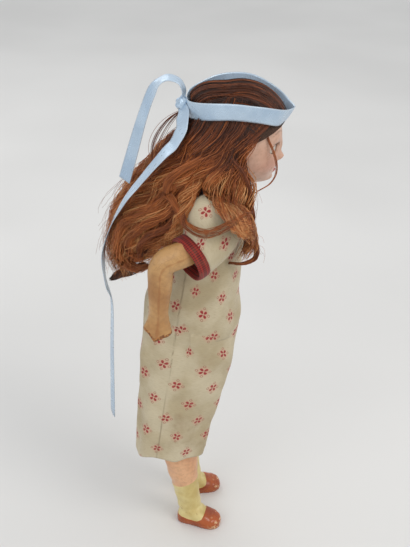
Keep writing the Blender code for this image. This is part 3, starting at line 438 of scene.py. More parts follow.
def camera():
    data = bpy.data.cameras.new("camera")
    item = linked("camera", data)
    forward = Vector(CAMERA_FORWARD).normalized()
    right = forward.cross(Vector(CAMERA_UP)).normalized()
    turn = Matrix((right, right.cross(forward), -forward)).transposed().to_4x4()
    item.matrix_world = Matrix.Translation(CAMERA_PLACE) @ turn
    data.sensor_fit = "VERTICAL"
    data.sensor_height = SENSOR
    data.lens = SENSOR * FOCAL_PIXELS / PHOTO_PIXELS
    data.clip_start = 0.01
    bpy.context.scene.camera = item


def lamp(name, place, aim, size, watts, colour=(1, 1, 1)):
    data = bpy.data.lights.new(name, "AREA")
    data.shape = "DISK"
    data.size = size
    data.energy = watts
    data.color = colour
    item = linked(name, data)
    item.location = place
    item.rotation_euler = (Vector(aim) - Vector(place)).to_track_quat("-Z", "Y").to_euler()


def studio():
    scene = bpy.context.scene
    scene.view_settings.view_transform = "Standard"
    world = bpy.data.worlds.new("studio")
    scene.world = world
    world.use_nodes = True
    back = world.node_tree.nodes["Background"]
    back.inputs["Color"].default_value = (0.97, 0.985, 1.0, 1.0)
    back.inputs["Strength"].default_value = 0.78
    middle = (0, 0, 0.18)
    lamp("key", (-0.55, -0.75, 1.15), middle, 0.7, 5.0, (1.0, 0.97, 0.93))
    lamp("fill", (-0.9, 0.7, 0.7), middle, 0.9, 2.4, (0.97, 0.98, 1.0))
    lamp("back", (0.8, 0.4, 0.9), middle, 0.8, 2.0)
    f = Finish("floor", 0.75)
    shade = f.between(f.noise(3, 2), 0.3, 0.7)
    material = f.done(f.mix(shade, srgb(216, 215, 213), srgb(222, 221, 219)))
    corners = FLOOR_HALF * np.array(((-1, -1, 0), (1, -1, 0), (1, 1, 0), (-1, 1, 0)))
    floor = linked("floor", raw_mesh("floor", corners, [[0, 1, 2, 3]]))
    floor.data.materials.append(material)


camera()
studio()


# Finishes of the cloth, hair, ribbon and hidden pieces

def calico():
    """Unbleached cotton with a small printed red motif on a half-drop repeat, aged and a little stained."""
    column, repeat = 0.0113, 0.0275
    petal_out, petal_long, petal_wide = 1.70 * MM, 1.30 * MM, 1.00 * MM
    dot_out, dot_radius, dot_line = 3.9 * MM, 0.72 * MM, 0.24 * MM
    weave = 0.00045
    f = Finish("calico", 0.88, Sheen_Weight=0.15)
    u, v, _ = f.split(f.cloth())
    across = f.math("DIVIDE", u, column)
    shift = f.math("MULTIPLY", f.math("MODULO", f.math("FLOOR", f.math("ADD", across, 64.0)), 2.0), 0.5)
    down = f.math("ADD", f.math("DIVIDE", v, repeat), shift)
    x, y = (f.math("ABSOLUTE", f.math("MULTIPLY", f.math("SUBTRACT", f.math("FRACT", at), 0.5), size))
            for at, size in ((across, column), (down, repeat)))
    root = math.sqrt(0.5)
    out = f.math("SUBTRACT", f.math("MULTIPLY", f.math("ADD", x, y), root), petal_out)
    off = f.math("MULTIPLY", f.math("SUBTRACT", x, y), root)
    taper = f.math("MULTIPLY_ADD", out, 0.28 / petal_long, 0.85)
    off = f.math("DIVIDE", off, f.math("MULTIPLY", taper, petal_wide))
    petal = f.math("ADD", f.math("POWER", f.math("DIVIDE", out, petal_long), 2.0), f.math("POWER", off, 2.0))

    def length(a, b):
        return f.math("SQRT", f.math("ADD", f.math("POWER", a, 2.0), f.math("POWER", b, 2.0)))

    dot = f.math("MINIMUM", *(length(f.math("SUBTRACT", a, dot_out), b) for a, b in ((x, y), (y, x))))
    ring = f.math("ABSOLUTE", f.math("SUBTRACT", dot, dot_radius))
    radius = length(x, y)
    thread = f.math("MULTIPLY", *(f.math("SINE", f.math("MULTIPLY", way, math.tau / weave)) for way in (u, v)))
    colour = f.mix(f.between(f.noise(38, 4), 0.35, 0.7), srgb(200, 187, 158), srgb(176, 160, 127))
    stain = f.between(f.noise(21, 6, rough=0.6), 0.54, 0.72, 0.0, 0.5)
    colour = f.mix(stain, colour, srgb(140, 112, 76))
    colour = f.mix(f.between(f.threads(300, 2600), 0.45, 0.75, 0.0, 0.22), colour, srgb(132, 112, 84))
    halo = f.between(radius, 2.4 * MM, 5.0 * MM, 0.42, 0.0)
    colour = f.mix(halo, colour, srgb(206, 150, 128))
    colour = f.mix(f.between(ring, 0.4 * dot_line, dot_line, 0.72, 0.0), colour, srgb(150, 64, 56))
    ink = f.math("MULTIPLY", f.between(petal, 0.75, 1.15, 1.0, 0.0), f.between(f.noise(900, 2), 0.25, 0.5, 0.72, 0.96))
    colour = f.mix(ink, colour, srgb(150, 24, 34))
    # Painted shade: the inner faces of the sleeves are mixed towards dark brown, standing for the shade inside them
    colour = f.mix(f.math("MULTIPLY", f.attribute("inside"), 0.7), colour, srgb(84, 50, 38))
    seam = f.attribute("seam")
    colour = f.mix(f.between(seam, 0.0, 0.0009, 0.5, 0.0), colour, srgb(96, 72, 46))
    normal = f.relief(thread, 0.00008, 0.5)
    normal = f.relief(f.noise(170, 4), 0.0008, 0.28, normal)
    return f.done(colour, None, normal)


def gingham():
    """Dark red cotton woven in small checks."""
    check = 0.0013
    f = Finish("gingham", 0.85, Sheen_Weight=0.1)
    lines = [f.between(f.math("SINE", f.math("MULTIPLY", way, math.tau / check)), -0.1, 0.35)
             for way in f.split(f.cloth())[:2]]
    both = f.math("MULTIPLY", f.math("ADD", *lines), 0.5)
    colour = f.mix(both, srgb(152, 36, 24), srgb(72, 14, 10))
    colour = f.mix(f.between(f.noise(160, 4), 0.45, 0.75, 0.0, 0.35), colour, srgb(120, 76, 58))
    return f.done(colour, None, f.relief(f.noise(700, 3), 0.0003, 0.4))


def satin():
    """Pale blue satin ribbon: smooth, bright along its length, with woven edges."""
    f = Finish("satin", 0.3, Metallic=0.28, Anisotropic=0.6, Specular_IOR_Level=0.8, Sheen_Weight=0.15)
    edge = f.between(f.math("ABSOLUTE", f.split(f.cloth())[0]), 0.0043, 0.0046)
    cloud = f.between(f.noise(60, 3), 0.35, 0.7)
    colour = f.mix(cloud, srgb(186, 207, 226), srgb(168, 191, 213))
    colour = f.mix(f.math("MULTIPLY", edge, 0.45), colour, srgb(206, 216, 224))
    normal = f.relief(f.threads(5200, 160), 0.00008, 0.15)
    return f.done(colour, f.between(f.noise(240, 3), 0.3, 0.7, 0.24, 0.36), normal)


def hair():
    """Auburn mohair: each strand has its own tone, paler towards its end."""
    f = Finish("hair", 0.42, Specular_IOR_Level=0.42)
    ramp = f.tree.nodes.new("ShaderNodeValToRGB")
    # The tone mark carries each strand's own tone together with painted shade set where the strands are built
    f.feed(ramp.inputs[0], f.attribute("tone"))
    stops = ramp.color_ramp.elements
    stops[0].color, stops[-1].color = srgb(52, 31, 23), srgb(216, 160, 104)
    for place, colour in ((0.35, srgb(130, 68, 36)), (0.7, srgb(190, 110, 56))):
        stops.new(place).color = colour
    colour = f.mix(f.between(f.noise(120, 3), 0.4, 0.7, 0.0, 0.3), ramp.outputs[0], srgb(60, 32, 22))
    return f.done(colour)


def plain(name, light, dark, rough, scale=200, metal=0.0, depth=0.0002):
    """A hidden or small piece: two tones and a slightly uneven surface."""
    f = Finish(name, rough, Metallic=metal)
    colour = f.mix(f.between(f.noise(scale, 4), 0.35, 0.68), light, dark)
    return f.done(colour, f.between(f.noise(scale * 2, 3), 0.3, 0.7, rough - 0.08, min(1.0, rough + 0.1)),
                  f.relief(f.noise(scale * 4, 3), depth, 0.4))


def eye_glass():
    """A glass eye: brown iris with a dark rim and pupil, painted lid above; marks give millimetres from the gaze."""
    f = Finish("eye", 0.08, Coat_Weight=1.0, Coat_Roughness=0.03)
    off = f.attribute("gaze")
    # The eye white is a dull greyish cream: partly the glass's own tint, partly painted shade of the socket
    colour = f.mix(f.between(f.noise(500, 3), 0.4, 0.7, 0.0, 0.3), srgb(196, 184, 168), srgb(170, 152, 134))
    fibres = f.between(f.noise(1500, 3), 0.3, 0.7)
    iris = f.mix(fibres, srgb(118, 72, 36), srgb(66, 36, 18))
    iris = f.mix(f.between(off, 2.3, 3.1), iris, srgb(28, 16, 10))
    colour = f.mix(f.between(off, 3.0, 3.2, 1.0, 0.0), colour, iris)
    colour = f.mix(f.between(off, 1.35, 1.55, 1.0, 0.0), colour, srgb(8, 6, 6))
    lid = f.attribute("lid")
    colour = f.mix(f.between(lid, -0.25, 0.0), colour, srgb(60, 34, 24))
    colour = f.mix(f.between(lid, 0.25, 0.45), colour, srgb(190, 140, 112))
    return f.done(colour)


def face_paint():
    f, colour, rough, normal = painted_skin("skin_face", srgb(212, 176, 154), srgb(200, 156, 132), 0.33)
    colour = f.mix(f.math("MULTIPLY", f.attribute("blush"), 0.34), colour, srgb(200, 126, 108))
    colour = f.mix(f.between(f.attribute("lips"), -0.06, 0.1, 0.0, 0.85), colour, srgb(164, 52, 46))
    colour = f.mix(f.between(f.attribute("dots"), 0.3, 0.55, 0.0, 0.8), colour, srgb(168, 60, 48))
    colour = f.mix(f.between(f.attribute("brows"), -0.25, 0.3, 0.0, 0.42), colour, srgb(98, 62, 40))
    return f.done(colour, rough, normal)


def limb_paint():
    f, colour, rough, normal = painted_skin("skin_limb", srgb(190, 146, 92), srgb(164, 116, 66), 0.4)
    colour = f.mix(f.between(f.attribute("seam"), 0.0, 1.0, 0.5, 0.0), colour, srgb(150, 92, 44))
    torn = f.between(f.math("ADD", f.attribute("torn"), f.between(f.noise(700, 3), 0.3, 0.7, -0.25, 0.25)), 0.35, 0.6)
    colour = f.mix(torn, colour, f.mix(f.between(f.noise(900, 3), 0.35, 0.65), srgb(172, 112, 54), srgb(108, 62, 28)))
    return f.done(colour, rough, normal)


def leg_paint():
    """Peach legs with painted cream socks and glossy tan shoes, scuffed at the toes."""
    f, colour, rough, normal = painted_skin("skin_leg", srgb(222, 172, 130), srgb(208, 152, 110), 0.36)
    sock = f.between(f.attribute("sock"), -0.12, 0.12)
    cream = f.mix(f.between(f.noise(80, 5), 0.38, 0.7), srgb(214, 197, 136), srgb(190, 166, 100))
    cream = f.mix(f.between(f.noise(190, 6, rough=0.65), 0.6, 0.7, 0.0, 0.6), cream, srgb(158, 126, 70))
    colour = f.mix(sock, colour, cream)
    shoe = f.between(f.attribute("shoe"), -0.1, 0.1)
    tan = f.mix(f.between(f.noise(90, 5), 0.35, 0.7), srgb(172, 84, 32), srgb(142, 62, 20))
    scuff = f.math("MULTIPLY", f.between(f.noise(330, 6, rough=0.6), 0.56, 0.62), f.attribute("toe"))
    tan = f.mix(scuff, tan, srgb(214, 176, 132))
    colour = f.mix(shoe, colour, tan)
    glossy = f.math("MULTIPLY_ADD", shoe, -0.16, rough)
    return f.done(colour, glossy, normal)


# Head and eyes, in the skull's frame and in millimetres

SKULL_WIDE, SKULL_BACK, FACE_FRONT, SKULL_TOP, CHIN_DROP = 22.5, 25.5, 24.5, 26.8, 28.0
CROWN_CUT, HEAD_WALL, NECK_BORE, NECK_BACK = 13.5, 2.6, 6.6, 6
EYE_X, EYE_Y, EYE_Z, EYE_RADIUS = 9.5, -14.81, -1.8, 6.2
EYE_GAP, EYE_OPEN_WIDE, EYE_OPEN_TALL, LID_EDGE = 0.5, 5.2, 3.4, 22   # the lid's edge in degrees above the gaze
MOUTH, LIP_WIDE, LIP_TALL = -16.8, 4.4, 2.6
# Forms of the face: from the middle, height, spread across, spread up, how far it stands out; the pairs mirror
MIDDLE_FORMS = (
    (0, -3.0, 2.1, 4.6, 1.5), (0, -9.3, 2.5, 2.5, 3.5), (0, -13.0, 0.9, 1.8, -0.35), (0, -15.3, 3.3, 1.1, 1.3),
    (0, -18.2, 2.9, 1.3, 1.5), (0, -16.7, 4.2, 0.5, -0.8), (0, -20.8, 4.0, 1.2, -0.5), (0, -24.6, 6.0, 4.4, 4.3),
)
PAIRED_FORMS = (
    (2.4, -10.3, 1.3, 1.2, 1.1), (11.0, -12.0, 5.5, 6.0, 1.5), (9.5, -1.8, 5.2, 3.3, -1.0), (9.5, 5.0, 6.0, 2.2, 0.5),
)


def skull_at(z, turn, inset):
    """Points of the plain head at heights z and angles from the middle of the face."""
    top, chin = SKULL_TOP - inset, CHIN_DROP - inset
    wide, rear, face = SKULL_WIDE - inset, SKULL_BACK - inset, FACE_FRONT - inset
    above = z >= 0
    rise = np.sqrt(np.clip(1 - (z / top) ** 2, 0, 1))
    drop = np.clip(-z / chin, 0, 1)
    half = np.where(above, rise * wide, wide * (1 - drop ** 2.6) ** (1 / 2.3) * (1 - 0.1 * drop))
    back = np.where(above, rise * rear, rear * np.sqrt(1 - drop ** 2))
    front = np.where(above, rise * face, face * (1 - drop ** 4.2) ** (1 / 3))
    square = np.where(above, 1.0, 1 - 0.05 * np.sin(math.pi * drop))
    x = half * power(np.sin(turn), square)
    ahead = power(np.cos(turn), square)
    return np.stack([x, -np.where(ahead > 0, front, back) * ahead, np.broadcast_to(z, x.shape)], -1), ahead


def head_surface(rows_up, rows_down, cols, inset=0.0, featured=True):
    a = np.concatenate([np.linspace(0, math.pi / 2, rows_up, endpoint=False),
                        np.linspace(math.pi / 2, math.pi, rows_down)])[1:-1]
    z = np.where(a < math.pi / 2, (SKULL_TOP - inset) * np.cos(a), (CHIN_DROP - inset) * np.cos(a))[:, None]
    s = np.linspace(-1, 1, cols, endpoint=False)
    points, ahead = skull_at(z, math.pi * (0.45 * s + 0.55 * s ** 3)[None, :], inset)
    if featured:
        x, height = points[..., 0], points[..., 2]
        relief = np.zeros_like(x)
        for x0, z0, wide, tall, out in MIDDLE_FORMS:
            relief += out * bump(x, height, x0, z0, wide, tall)
        for x0, z0, wide, tall, out in PAIRED_FORMS:
            relief += out * bump(np.abs(x), height, x0, z0, wide, tall)
        points[..., 1] -= relief * eased(2.5 * ahead)
    return solid("head", points)


def ball_mesh(radius, centre, rows, cols):
    a = np.linspace(0, math.pi, rows + 2)[1:-1, None]
    b = circle(cols)
    points = radius * np.stack([np.sin(a) * np.cos(b), np.sin(a) * np.sin(b), np.cos(a) + 0 * b], -1) + centre
    return solid("ball", points)


def turned_mesh(profile, cols, centre=(0, 0, 0)):
    """A closed solid of revolution about Z from (radius, height) rows."""
    profile = np.asarray(profile, float)
    b = circle(cols)
    points = np.stack([profile[:, :1] * np.cos(b), profile[:, :1] * np.sin(b), profile[:, 1:] + 0 * b], -1)
    return solid("turned", points + centre)


def almond_mesh(side):
    b = circle(48)
    x = side * EYE_X + EYE_OPEN_WIDE * np.cos(b)
    z = EYE_Z + EYE_OPEN_TALL * power(np.sin(b), 1.2)
    points = np.stack([np.stack([x, 0 * b + y, z], -1) for y in (-2 * FACE_FRONT, EYE_Y)])
    return solid("almond", points)


def make_head():
    neck_axis = (0, NECK_BACK, 0)
    neck = [(10.6 * math.sin(a), -35.5 - 10.6 * math.cos(a)) for a in np.radians(range(4, 61, 8))]
    neck += [(9.4, -30.5), (9.2, -26), (9.4, -21), (9.8, -14)]
    corners = (-60, -60), (60, -60), (60, 60), (-60, 60)
    block = np.array([[(x, y, z) for x, y in corners] for z in (CROWN_CUT, 60)])
    away = [head_surface(14, 16, 48, HEAD_WALL, False), turned_mesh([(NECK_BORE, -60), (NECK_BORE, -11)], 40,
                                                                    neck_axis)]
    for side in WORDS:
        away += [ball_mesh(EYE_RADIUS + EYE_GAP, (side * EYE_X, EYE_Y, EYE_Z), 22, 44), almond_mesh(side)]
    away.append(solid("block", block))
    tools = [("UNION", turned_mesh(neck, 64, neck_axis)), *(("DIFFERENCE", shape) for shape in away)]
    mesh = cut(head_surface(46, 96, 220), *tools)
    points = coords(mesh)
    x, y, z = points.T
    face = y < -8
    bow = 0.45 * np.exp(-(x / 0.8) ** 2) * (z > MOUTH)
    lip = 1 - (x / LIP_WIDE) ** 2 - ((z - MOUTH + bow) / LIP_TALL) ** 2
    mark(mesh, "lips", np.where(face, lip, -1))
    mark(mesh, "blush", np.where(face, bump(np.abs(x), z, 12.5, -11.5, 6.0, 5.0), 0))
    nostril = bump(np.abs(x), z, 1.5, -11.2, 0.6, 0.45)
    mark(mesh, "dots", np.where(face, nostril, 0))
    brow = 8.0 - 0.055 * (np.abs(x) - 9.0) ** 2
    wide = 0.6 * np.sqrt(np.clip(1 - ((np.abs(x) - 9.5) / 6.2) ** 2, 0, 1))
    lash = 4.0 + EYE_Z - 0.12 * (np.abs(x) - EYE_X) ** 2
    near = np.abs(np.abs(x) - EYE_X) < 6.0
    line = np.where(near, 0.45 - np.abs(z - lash), -1)
    mark(mesh, "brows", np.where(face, np.maximum(wide - 0.05 - np.abs(z - brow), line), -1))
    set_coords(mesh, from_skull(points * MM))
    piece("head", mesh, face_paint(), "head", ["head_shell"])


def make_eyes():
    glass = eye_glass()
    for side, word in WORDS.items():
        centre = np.array((side * EYE_X, EYE_Y, EYE_Z))
        mesh = ball_mesh(EYE_RADIUS, centre, 46, 64)
        local = coords(mesh) - centre
        mark(mesh, "gaze", np.where(local[:, 1] < 0, np.hypot(local[:, 0], local[:, 2]), 9.0))
        rise = np.degrees(np.arctan2(local[:, 2], -local[:, 1]))
        mark(mesh, "lid", np.where((rise > LID_EDGE) & (rise < 130), 1.0,
                                   np.where(rise > 0, (rise - LID_EDGE) / 8, -2.0)))
        set_coords(mesh, from_skull((local + centre) * MM))
        piece(f"{word}_glass_eye", mesh, glass, "eyes", [f"{word}_eye"])


# Arms, in the hanging arm's frame and in millimetres

ARM_MIDDLE, UPPER_ARM, FOREARM, ARM_SPREAD = 31.1, 36.0, 46.5, 15.0
ELBOW_BEND, ELBOW_SPAN = math.radians(63.4), 14.0
BROKEN_END = (-1.0, -0.2, 1.0), (-4.0, 3.0, -0.6)   # across the right hand from the back, and how far it is left


def arm_points(s, side):
    """The arm's middle line at lengths s from the shoulder axis."""
    fine = np.linspace(0, UPPER_ARM + FOREARM + 4, 400)
    bend = ELBOW_BEND * eased((fine - UPPER_ARM) / ELBOW_SPAN + 0.5)
    step = fine[1] - fine[0]
    y = np.concatenate([[0], np.cumsum(-np.sin(bend[:-1]) * step)])
    z = np.concatenate([[0], np.cumsum(-np.cos(bend[:-1]) * step)])
    out = ARM_SPREAD * eased(fine / (0.7 * UPPER_ARM))
    path = np.stack([side * (ARM_MIDDLE + out), y, z], 1)
    return np.stack([np.interp(s, fine, path[:, k]) for k in range(3)], -1)


def make_arm(side, paint):
    """A moulded arm; the right hand has lost its fingers, and the left keeps a mitten-like hand with a thumb."""
    length = UPPER_ARM + FOREARM
    broken = side < 0
    hand = [(length - 10, 4.2, 6.3), (length - 5, 4.4, 7.5), (length, 4.8, 8.6)] if broken else [
        (length - 11, 3.6, 5.8), (length - 4, 3.0, 5.6), (length - 1.2, 2.4, 4.6), (length, 1.0, 2.4)]
    stops = [(0, 6.6, 8.8), (18, 6.6, 7.8), (31, 7.1, 7.6), (41, 7.0, 7.3), (51, 6.6, 6.9), (63, 5.2, 5.9),
             (68, 4.9, 5.6), *hand]
    rows, cols = 96, 56
    s = np.linspace(0, length, rows)
    a, b = through(stops, s).T
    e = circle(cols)
    centre = arm_points(s, side)
    along, across, other = tube_frames(centre)
    ring = across[:, None] * (a[:, None] * np.cos(e))[..., None] + other[:, None] * (b[:, None] * np.sin(e))[..., None]
    uneven = Waves(3 if broken else 4, 14.0)
    points = centre[:, None] + ring * (1 + 0.02 * uneven(centre[:, None] + ring))[..., None]
    end = eased((s - length + 9) / 9)[:, None]
    jag = Waves(8, 5.0)(points[-1]) * 1.4 + np.interp(np.sin(e), *BROKEN_END)
    points += along[:, None] * (end * (jag if broken else 0 * e))[..., None]
    if not broken:
        groove = np.abs(np.sin(2 * math.pi * np.sin(e) * 0.98)) ** 6
        points -= ring * (0.10 * eased((s - length + 9) / 3)[:, None] * groove * (np.abs(np.sin(e)) < 0.8))[..., None]
    grids = [points]
    torn = [np.repeat(eased((s - length + 3.2) / 3.0), cols)] if broken else [np.zeros(rows * cols)]
    if broken:
        middle = points[-1].mean(0)
        for share, deep in ((0.86, 0.2), (0.62, 2.0), (0.25, 3.0)):
            inner = middle + (points[-1] - middle) * share - along[-1] * deep
            grids.append((inner + 0.5 * Waves(9, 3.0)(inner)[:, None] * along[-1])[None])
            torn.append(np.ones(cols))
    grid = np.concatenate(grids)
    mesh = raw_mesh(f"{WORDS[side]}_limb", grid.reshape(-1, 3), grid_faces(len(grid), cols))
    turned = np.abs(e - (math.pi if side < 0 else 0))
    outer = np.minimum(turned, math.tau - turned)
    seam = np.concatenate([np.repeat(a, cols) * np.tile(outer, rows), np.full(cols * (len(grid) - rows), 9.0)])
    mark(mesh, "seam", seam + 0.5 * Waves(11, 6.0)(grid.reshape(-1, 3)))
    mark(mesh, "torn", np.concatenate(torn))
    outward(mesh, close=True)
    if not broken:
        thumb_s = np.linspace(0, 1, 16)
        base, tip = arm_points(np.array((length - 12.5, length - 3.5)), side)
        reach = other[-1] * (-5.0)
        path = base + (tip - base) * thumb_s[:, None] + reach * (0.6 + 0.9 * np.sin(1.8 * thumb_s))[:, None]
        fat = 1.75 * np.sqrt(np.clip(1 - (1.12 * thumb_s - 0.14) ** 6, 0.02, 1))
        _, side_way, up_way = tube_frames(path)
        t = circle(18)[:, None]
        ring = side_way[:, None] * np.cos(t) + up_way[:, None] * np.sin(t)
        other_mesh = solid("thumb", path[:, None] + fat[:, None, None] * ring)
        mark(other_mesh, "seam", np.full(len(other_mesh.vertices), 9.0))
        mark(other_mesh, "torn", np.zeros(len(other_mesh.vertices)))
        mesh = cut(mesh, ("UNION", other_mesh))
    set_coords(mesh, from_arm(coords(mesh) * MM, side))
    word = WORDS[side]
    piece(f"{word}_limb", mesh, paint, f"{word}_arm_body", [f"{word}_arm"])


# Legs, from the hip axis and in millimetres above the floor

LEG_MIDDLE, FOOT_MIDDLE, LEG_TOP = 17.3, 14.3, 18.0
FOOT_LENGTH, FOOT_HALF_WIDTH, HEEL_BACK = 30.0, 7.6, 4.0
FOOT_SPLAY = math.radians(13)


def shoe_mesh(heel, forward, sideways):
    """The moulded foot from heel to toe, flat underneath."""
    t = np.linspace(0, 1, 60)
    stops = [(0.0, 0.40, 8.6), (0.04, 0.66, 11.2), (0.12, 0.82, 13.4), (0.30, 0.88, 17.5), (0.48, 0.95, 14.0),
             (0.66, 1.02, 9.8), (0.82, 1.0, 8.0), (0.94, 0.76, 6.8), (0.985, 0.48, 5.6), (1.0, 0.28, 4.6)]
    half, height = through(stops, t).T
    e = circle(44)
    up = height[:, None] * (0.40 + 0.60 * power(np.sin(e), 0.85))
    points = heel + forward * (FOOT_LENGTH * t)[:, None, None]
    points = points + sideways * (FOOT_HALF_WIDTH * half[:, None] * power(np.cos(e), 0.75))[..., None]
    points = points + np.array((0, 0, 1.0)) * np.maximum(0.0, up)[..., None]
    return solid("shoe", points)


def make_leg(side, paint):
    stops = [(0, 7.8, 17.8, 0.0), (27, 7.9, 16.4, 0.0), (41, 9.8, 13.2, 0.0), (58, 10.3, 11.3, 0.4),
             (72, 10.7, 11.3, 2.0),
             (90, 11.0, 11.7, 4.0), (102, 9.8, 10.6, 2.6), (114, 8.3, 9.2, 0.6), (121, 7.8, 8.8, -0.8),
             (134, 6.7, 8.2, -3.0), (143, 5.9, 7.4, -4.6)]
    deep = np.linspace(0, 143, 120)
    half, reach, back = through(stops, deep).T
    top = np.radians(np.linspace(80, 4, 12))
    up = LEG_TOP * np.sin(top)
    half = np.concatenate([np.full(12, 7.8), half])
    reach = np.concatenate([LEG_TOP * np.cos(top) * 0.99, reach])
    back = np.concatenate([np.zeros(12), back])
    z = HIP + np.concatenate([up, -deep])
    e = circle(48)
    middle = LEG_MIDDLE + (FOOT_MIDDLE - LEG_MIDDLE) * np.interp(HIP - z, (41, 58, 90, 121), (0, 0.4, 0.75, 1.0))
    points = np.stack([side * middle[:, None] + half[:, None] * np.cos(e), back[:, None] + reach[:, None] * np.sin(e),
                       np.broadcast_to(z[:, None], (len(z), 48))], -1)
    limb = solid("limb", points)
    forward = np.array((side * math.sin(FOOT_SPLAY), -math.cos(FOOT_SPLAY), 0))
    sideways = np.array((math.cos(FOOT_SPLAY), side * math.sin(FOOT_SPLAY), 0))
    heel = np.array((side * FOOT_MIDDLE - forward[0] * HEEL_BACK, HEEL_BACK, 0.0))
    mesh = remeshed([limb, shoe_mesh(heel, forward, sideways)], 0.62, 5)
    points = coords(mesh)
    x, y, z = points.T
    t = (points - heel) @ forward / FOOT_LENGTH
    lean = 38.5 - 0.35 * y
    sock = lean - z + 0.35 * Waves(21, 9.0)(points)
    edge = np.interp(t, (-0.1, 0.0, 0.30, 0.50, 0.60, 0.66, 0.72, 1.1), (7.4, 7.2, 6.0, 6.2, 8.0, 11.0, 15.0, 31.0))
    shoe = edge - z + 0.2 * Waves(22, 7.0)(points)
    points = points + normals(mesh) * (0.45 * eased(shoe / 0.8 + 0.5) + 0.12 * eased(sock / 0.8 + 0.5))[:, None]
    points += normals(mesh) * (0.12 * Waves(23, 11.0)(points))[:, None]
    points[:, 2] = np.where(points[:, 2] < 0.6, np.maximum(0.0, (points[:, 2] - 0.3) * 2), points[:, 2])
    mark(mesh, "sock", sock)
    mark(mesh, "shoe", shoe)
    mark(mesh, "toe", eased((t - 0.72) / 0.2) * eased((9.5 - z) / 3))
    set_coords(mesh, points * MM)
    word = WORDS[side]
    piece(f"{word}_limb_and_shoe", mesh, paint, f"{word}_leg_body", [f"{word}_leg"])


# Romper, in millimetres

CLOTH = 0.8
WAIST, SHOULDER_LINE, NECKLINE, NECK_OPENING = 22.0, 94.5, 106.5, 13.8
ARMHOLE_EDGE, ARMHOLE_RADIUS = 25.0, 14.8
FOLDS, FOLD_DEPTH = 7, 2.0
WAIST_WIDE, WAIST_FRONT, WAIST_BACK = 31.0, 28.9, 33.0
PRINT_TILT = math.radians(7)  # of the printed rows to the leg
SIDE_SEAM, BACK_OPENING = 11.7, 4.2   # of the bodice, behind the middle and beside it
NO_SEAM = 9.0                 # a mark for points away from any seam
HEM_OVERLAP, HEM_DIP = 6.5, 0.5   # of the bodice below the seam, where it runs in under the trousers
BODICE = ((WAIST - HEM_OVERLAP, WAIST_WIDE - HEM_DIP, WAIST_FRONT - HEM_DIP, WAIST_BACK - HEM_DIP),
          (WAIST, WAIST_WIDE, WAIST_FRONT, WAIST_BACK),
          (47.2, 29.5, 23.5, 27.3), (70.9, 28.0, 21.6, 23.1), (SHOULDER_LINE, 28.0, 20.6, 21.0),
          (102.3, 26.9, 18.1, 18.5),
          (NECKLINE, NECK_OPENING + 1, NECK_OPENING + 1, NECK_OPENING + 1))
BUTTON_HEIGHTS = (84.0, 64.0, 44.0)


def fold(angle, height):
    return np.sin(FOLDS * angle + 0.03 * height) * (0.7 + 0.3 * np.sin(2 * angle + 0.05 * height))


def bodice_ripple(angle, z):
    return 0.4 * FOLD_DEPTH * (1 - eased((z - 47) / 28)) * eased((z - 21) / 11) * fold(angle, z)


def bodice_back(z):
    return through(BODICE, np.array([z]))[0, 2] + bodice_ripple(math.pi / 2, z)


def bodice_grid(inset, rows=84, cols=176):
    z = np.concatenate([np.linspace(WAIST - HEM_OVERLAP, SHOULDER_LINE, rows - 24, endpoint=False),
                        np.linspace(SHOULDER_LINE, NECKLINE, 24)])[:, None]
    a = math.pi / 2 + circle(cols)[None, :]
    half, front, back = (s[:, None] for s in through(BODICE, z[:, 0]).T)
    inset = inset * (0.3 + 0.7 * eased((z - 20) / 4))
    swell = bodice_ripple(a, z) - inset
    x = (half + swell) * power(np.cos(a), 0.85)
    s = power(np.sin(a), 0.85)
    y = (np.where(s > 0, back, front) + swell) * s
    points = np.stack([x, y, z - 0.5 * inset + 0 * a], -1)
    crease = Waves(31, 17.0)(points) * 0.45 + Waves(32, 7.0)(points) * 0.16
    calm = (1 - eased((z - 96) / 8)) * eased((z - 21) / 9)
    points[..., :2] *= (1 + crease * calm / 28)[..., None]
    return points


def make_bodice(cotton, checked):
    outer, inner = bodice_grid(0.0), bodice_grid(CLOTH)
    cols = outer.shape[1]
    edge = arc_u(outer[0])
    u = np.empty((cols, 2))
    for side in WORDS:
        legs, _ = trouser_grid(side)
        level = arc_u(legs[-1])[:-1]
        outermost = len(level) // 2
        from_side = side * (edge - edge[cols // 4 if side < 0 else 3 * cols // 4])
        shown = both_sides(np.interp(from_side, level - level[outermost], arc_u(legs[PRINT_ROW])[:-1]))
        here = side * (outer[0, :, 0] + np.roll(outer[0, :, 0], -1)) > 0
        u[here] = shown[here]
    v = outer[:, 0, 2] - WAIST - 1.5 + legs[-1, 0, 2]
    holes = []
    for side in WORDS:
        hole = turned_mesh([(ARMHOLE_RADIUS, ARMHOLE_EDGE), (ARMHOLE_RADIUS, 70)], 72)
        at = coords(hole)
        set_coords(hole, np.stack([side * at[:, 2], at[:, 0], at[:, 1]], 1) + SHOULDER / MM)
        holes.append(("DIFFERENCE", outward(hole)))
    mesh = cut(shell_mesh("romper_bodice_cloth", outer, inner, u * MM, v * MM, PRINT_TILT, PRINT_SHIFT), *holes)
    mesh.attributes.remove(mesh.attributes["inside"])
    points = coords(mesh)
    x, y, _ = points.T
    sides = np.where(np.abs(x) > 14, np.abs(y - SIDE_SEAM), NO_SEAM)
    mark(mesh, "seam", np.minimum(sides, np.abs(np.where(y > 0, x - BACK_OPENING, x))) * MM)
    set_coords(mesh, from_torso(points * MM))
    bodice = piece("romper_bodice_cloth", mesh, cotton, "torso", ["romper_bodice"])
    neck = band_mesh("neck_binding_cloth", ring_path(NECK_OPENING + 0.4, NECKLINE + 2.6, 120), 2.2, 0.9)
    set_coords(neck, from_torso(coords(neck) * MM))
    binding = piece("neck_binding_cloth", neck, checked, "torso", ["neck_binding"])


def ring_path(radius, z, count):
    a = circle(count)
    return np.stack([radius * np.cos(a), radius * np.sin(a), np.full(count, z)], 1), np.array((0, 0, 1.0))


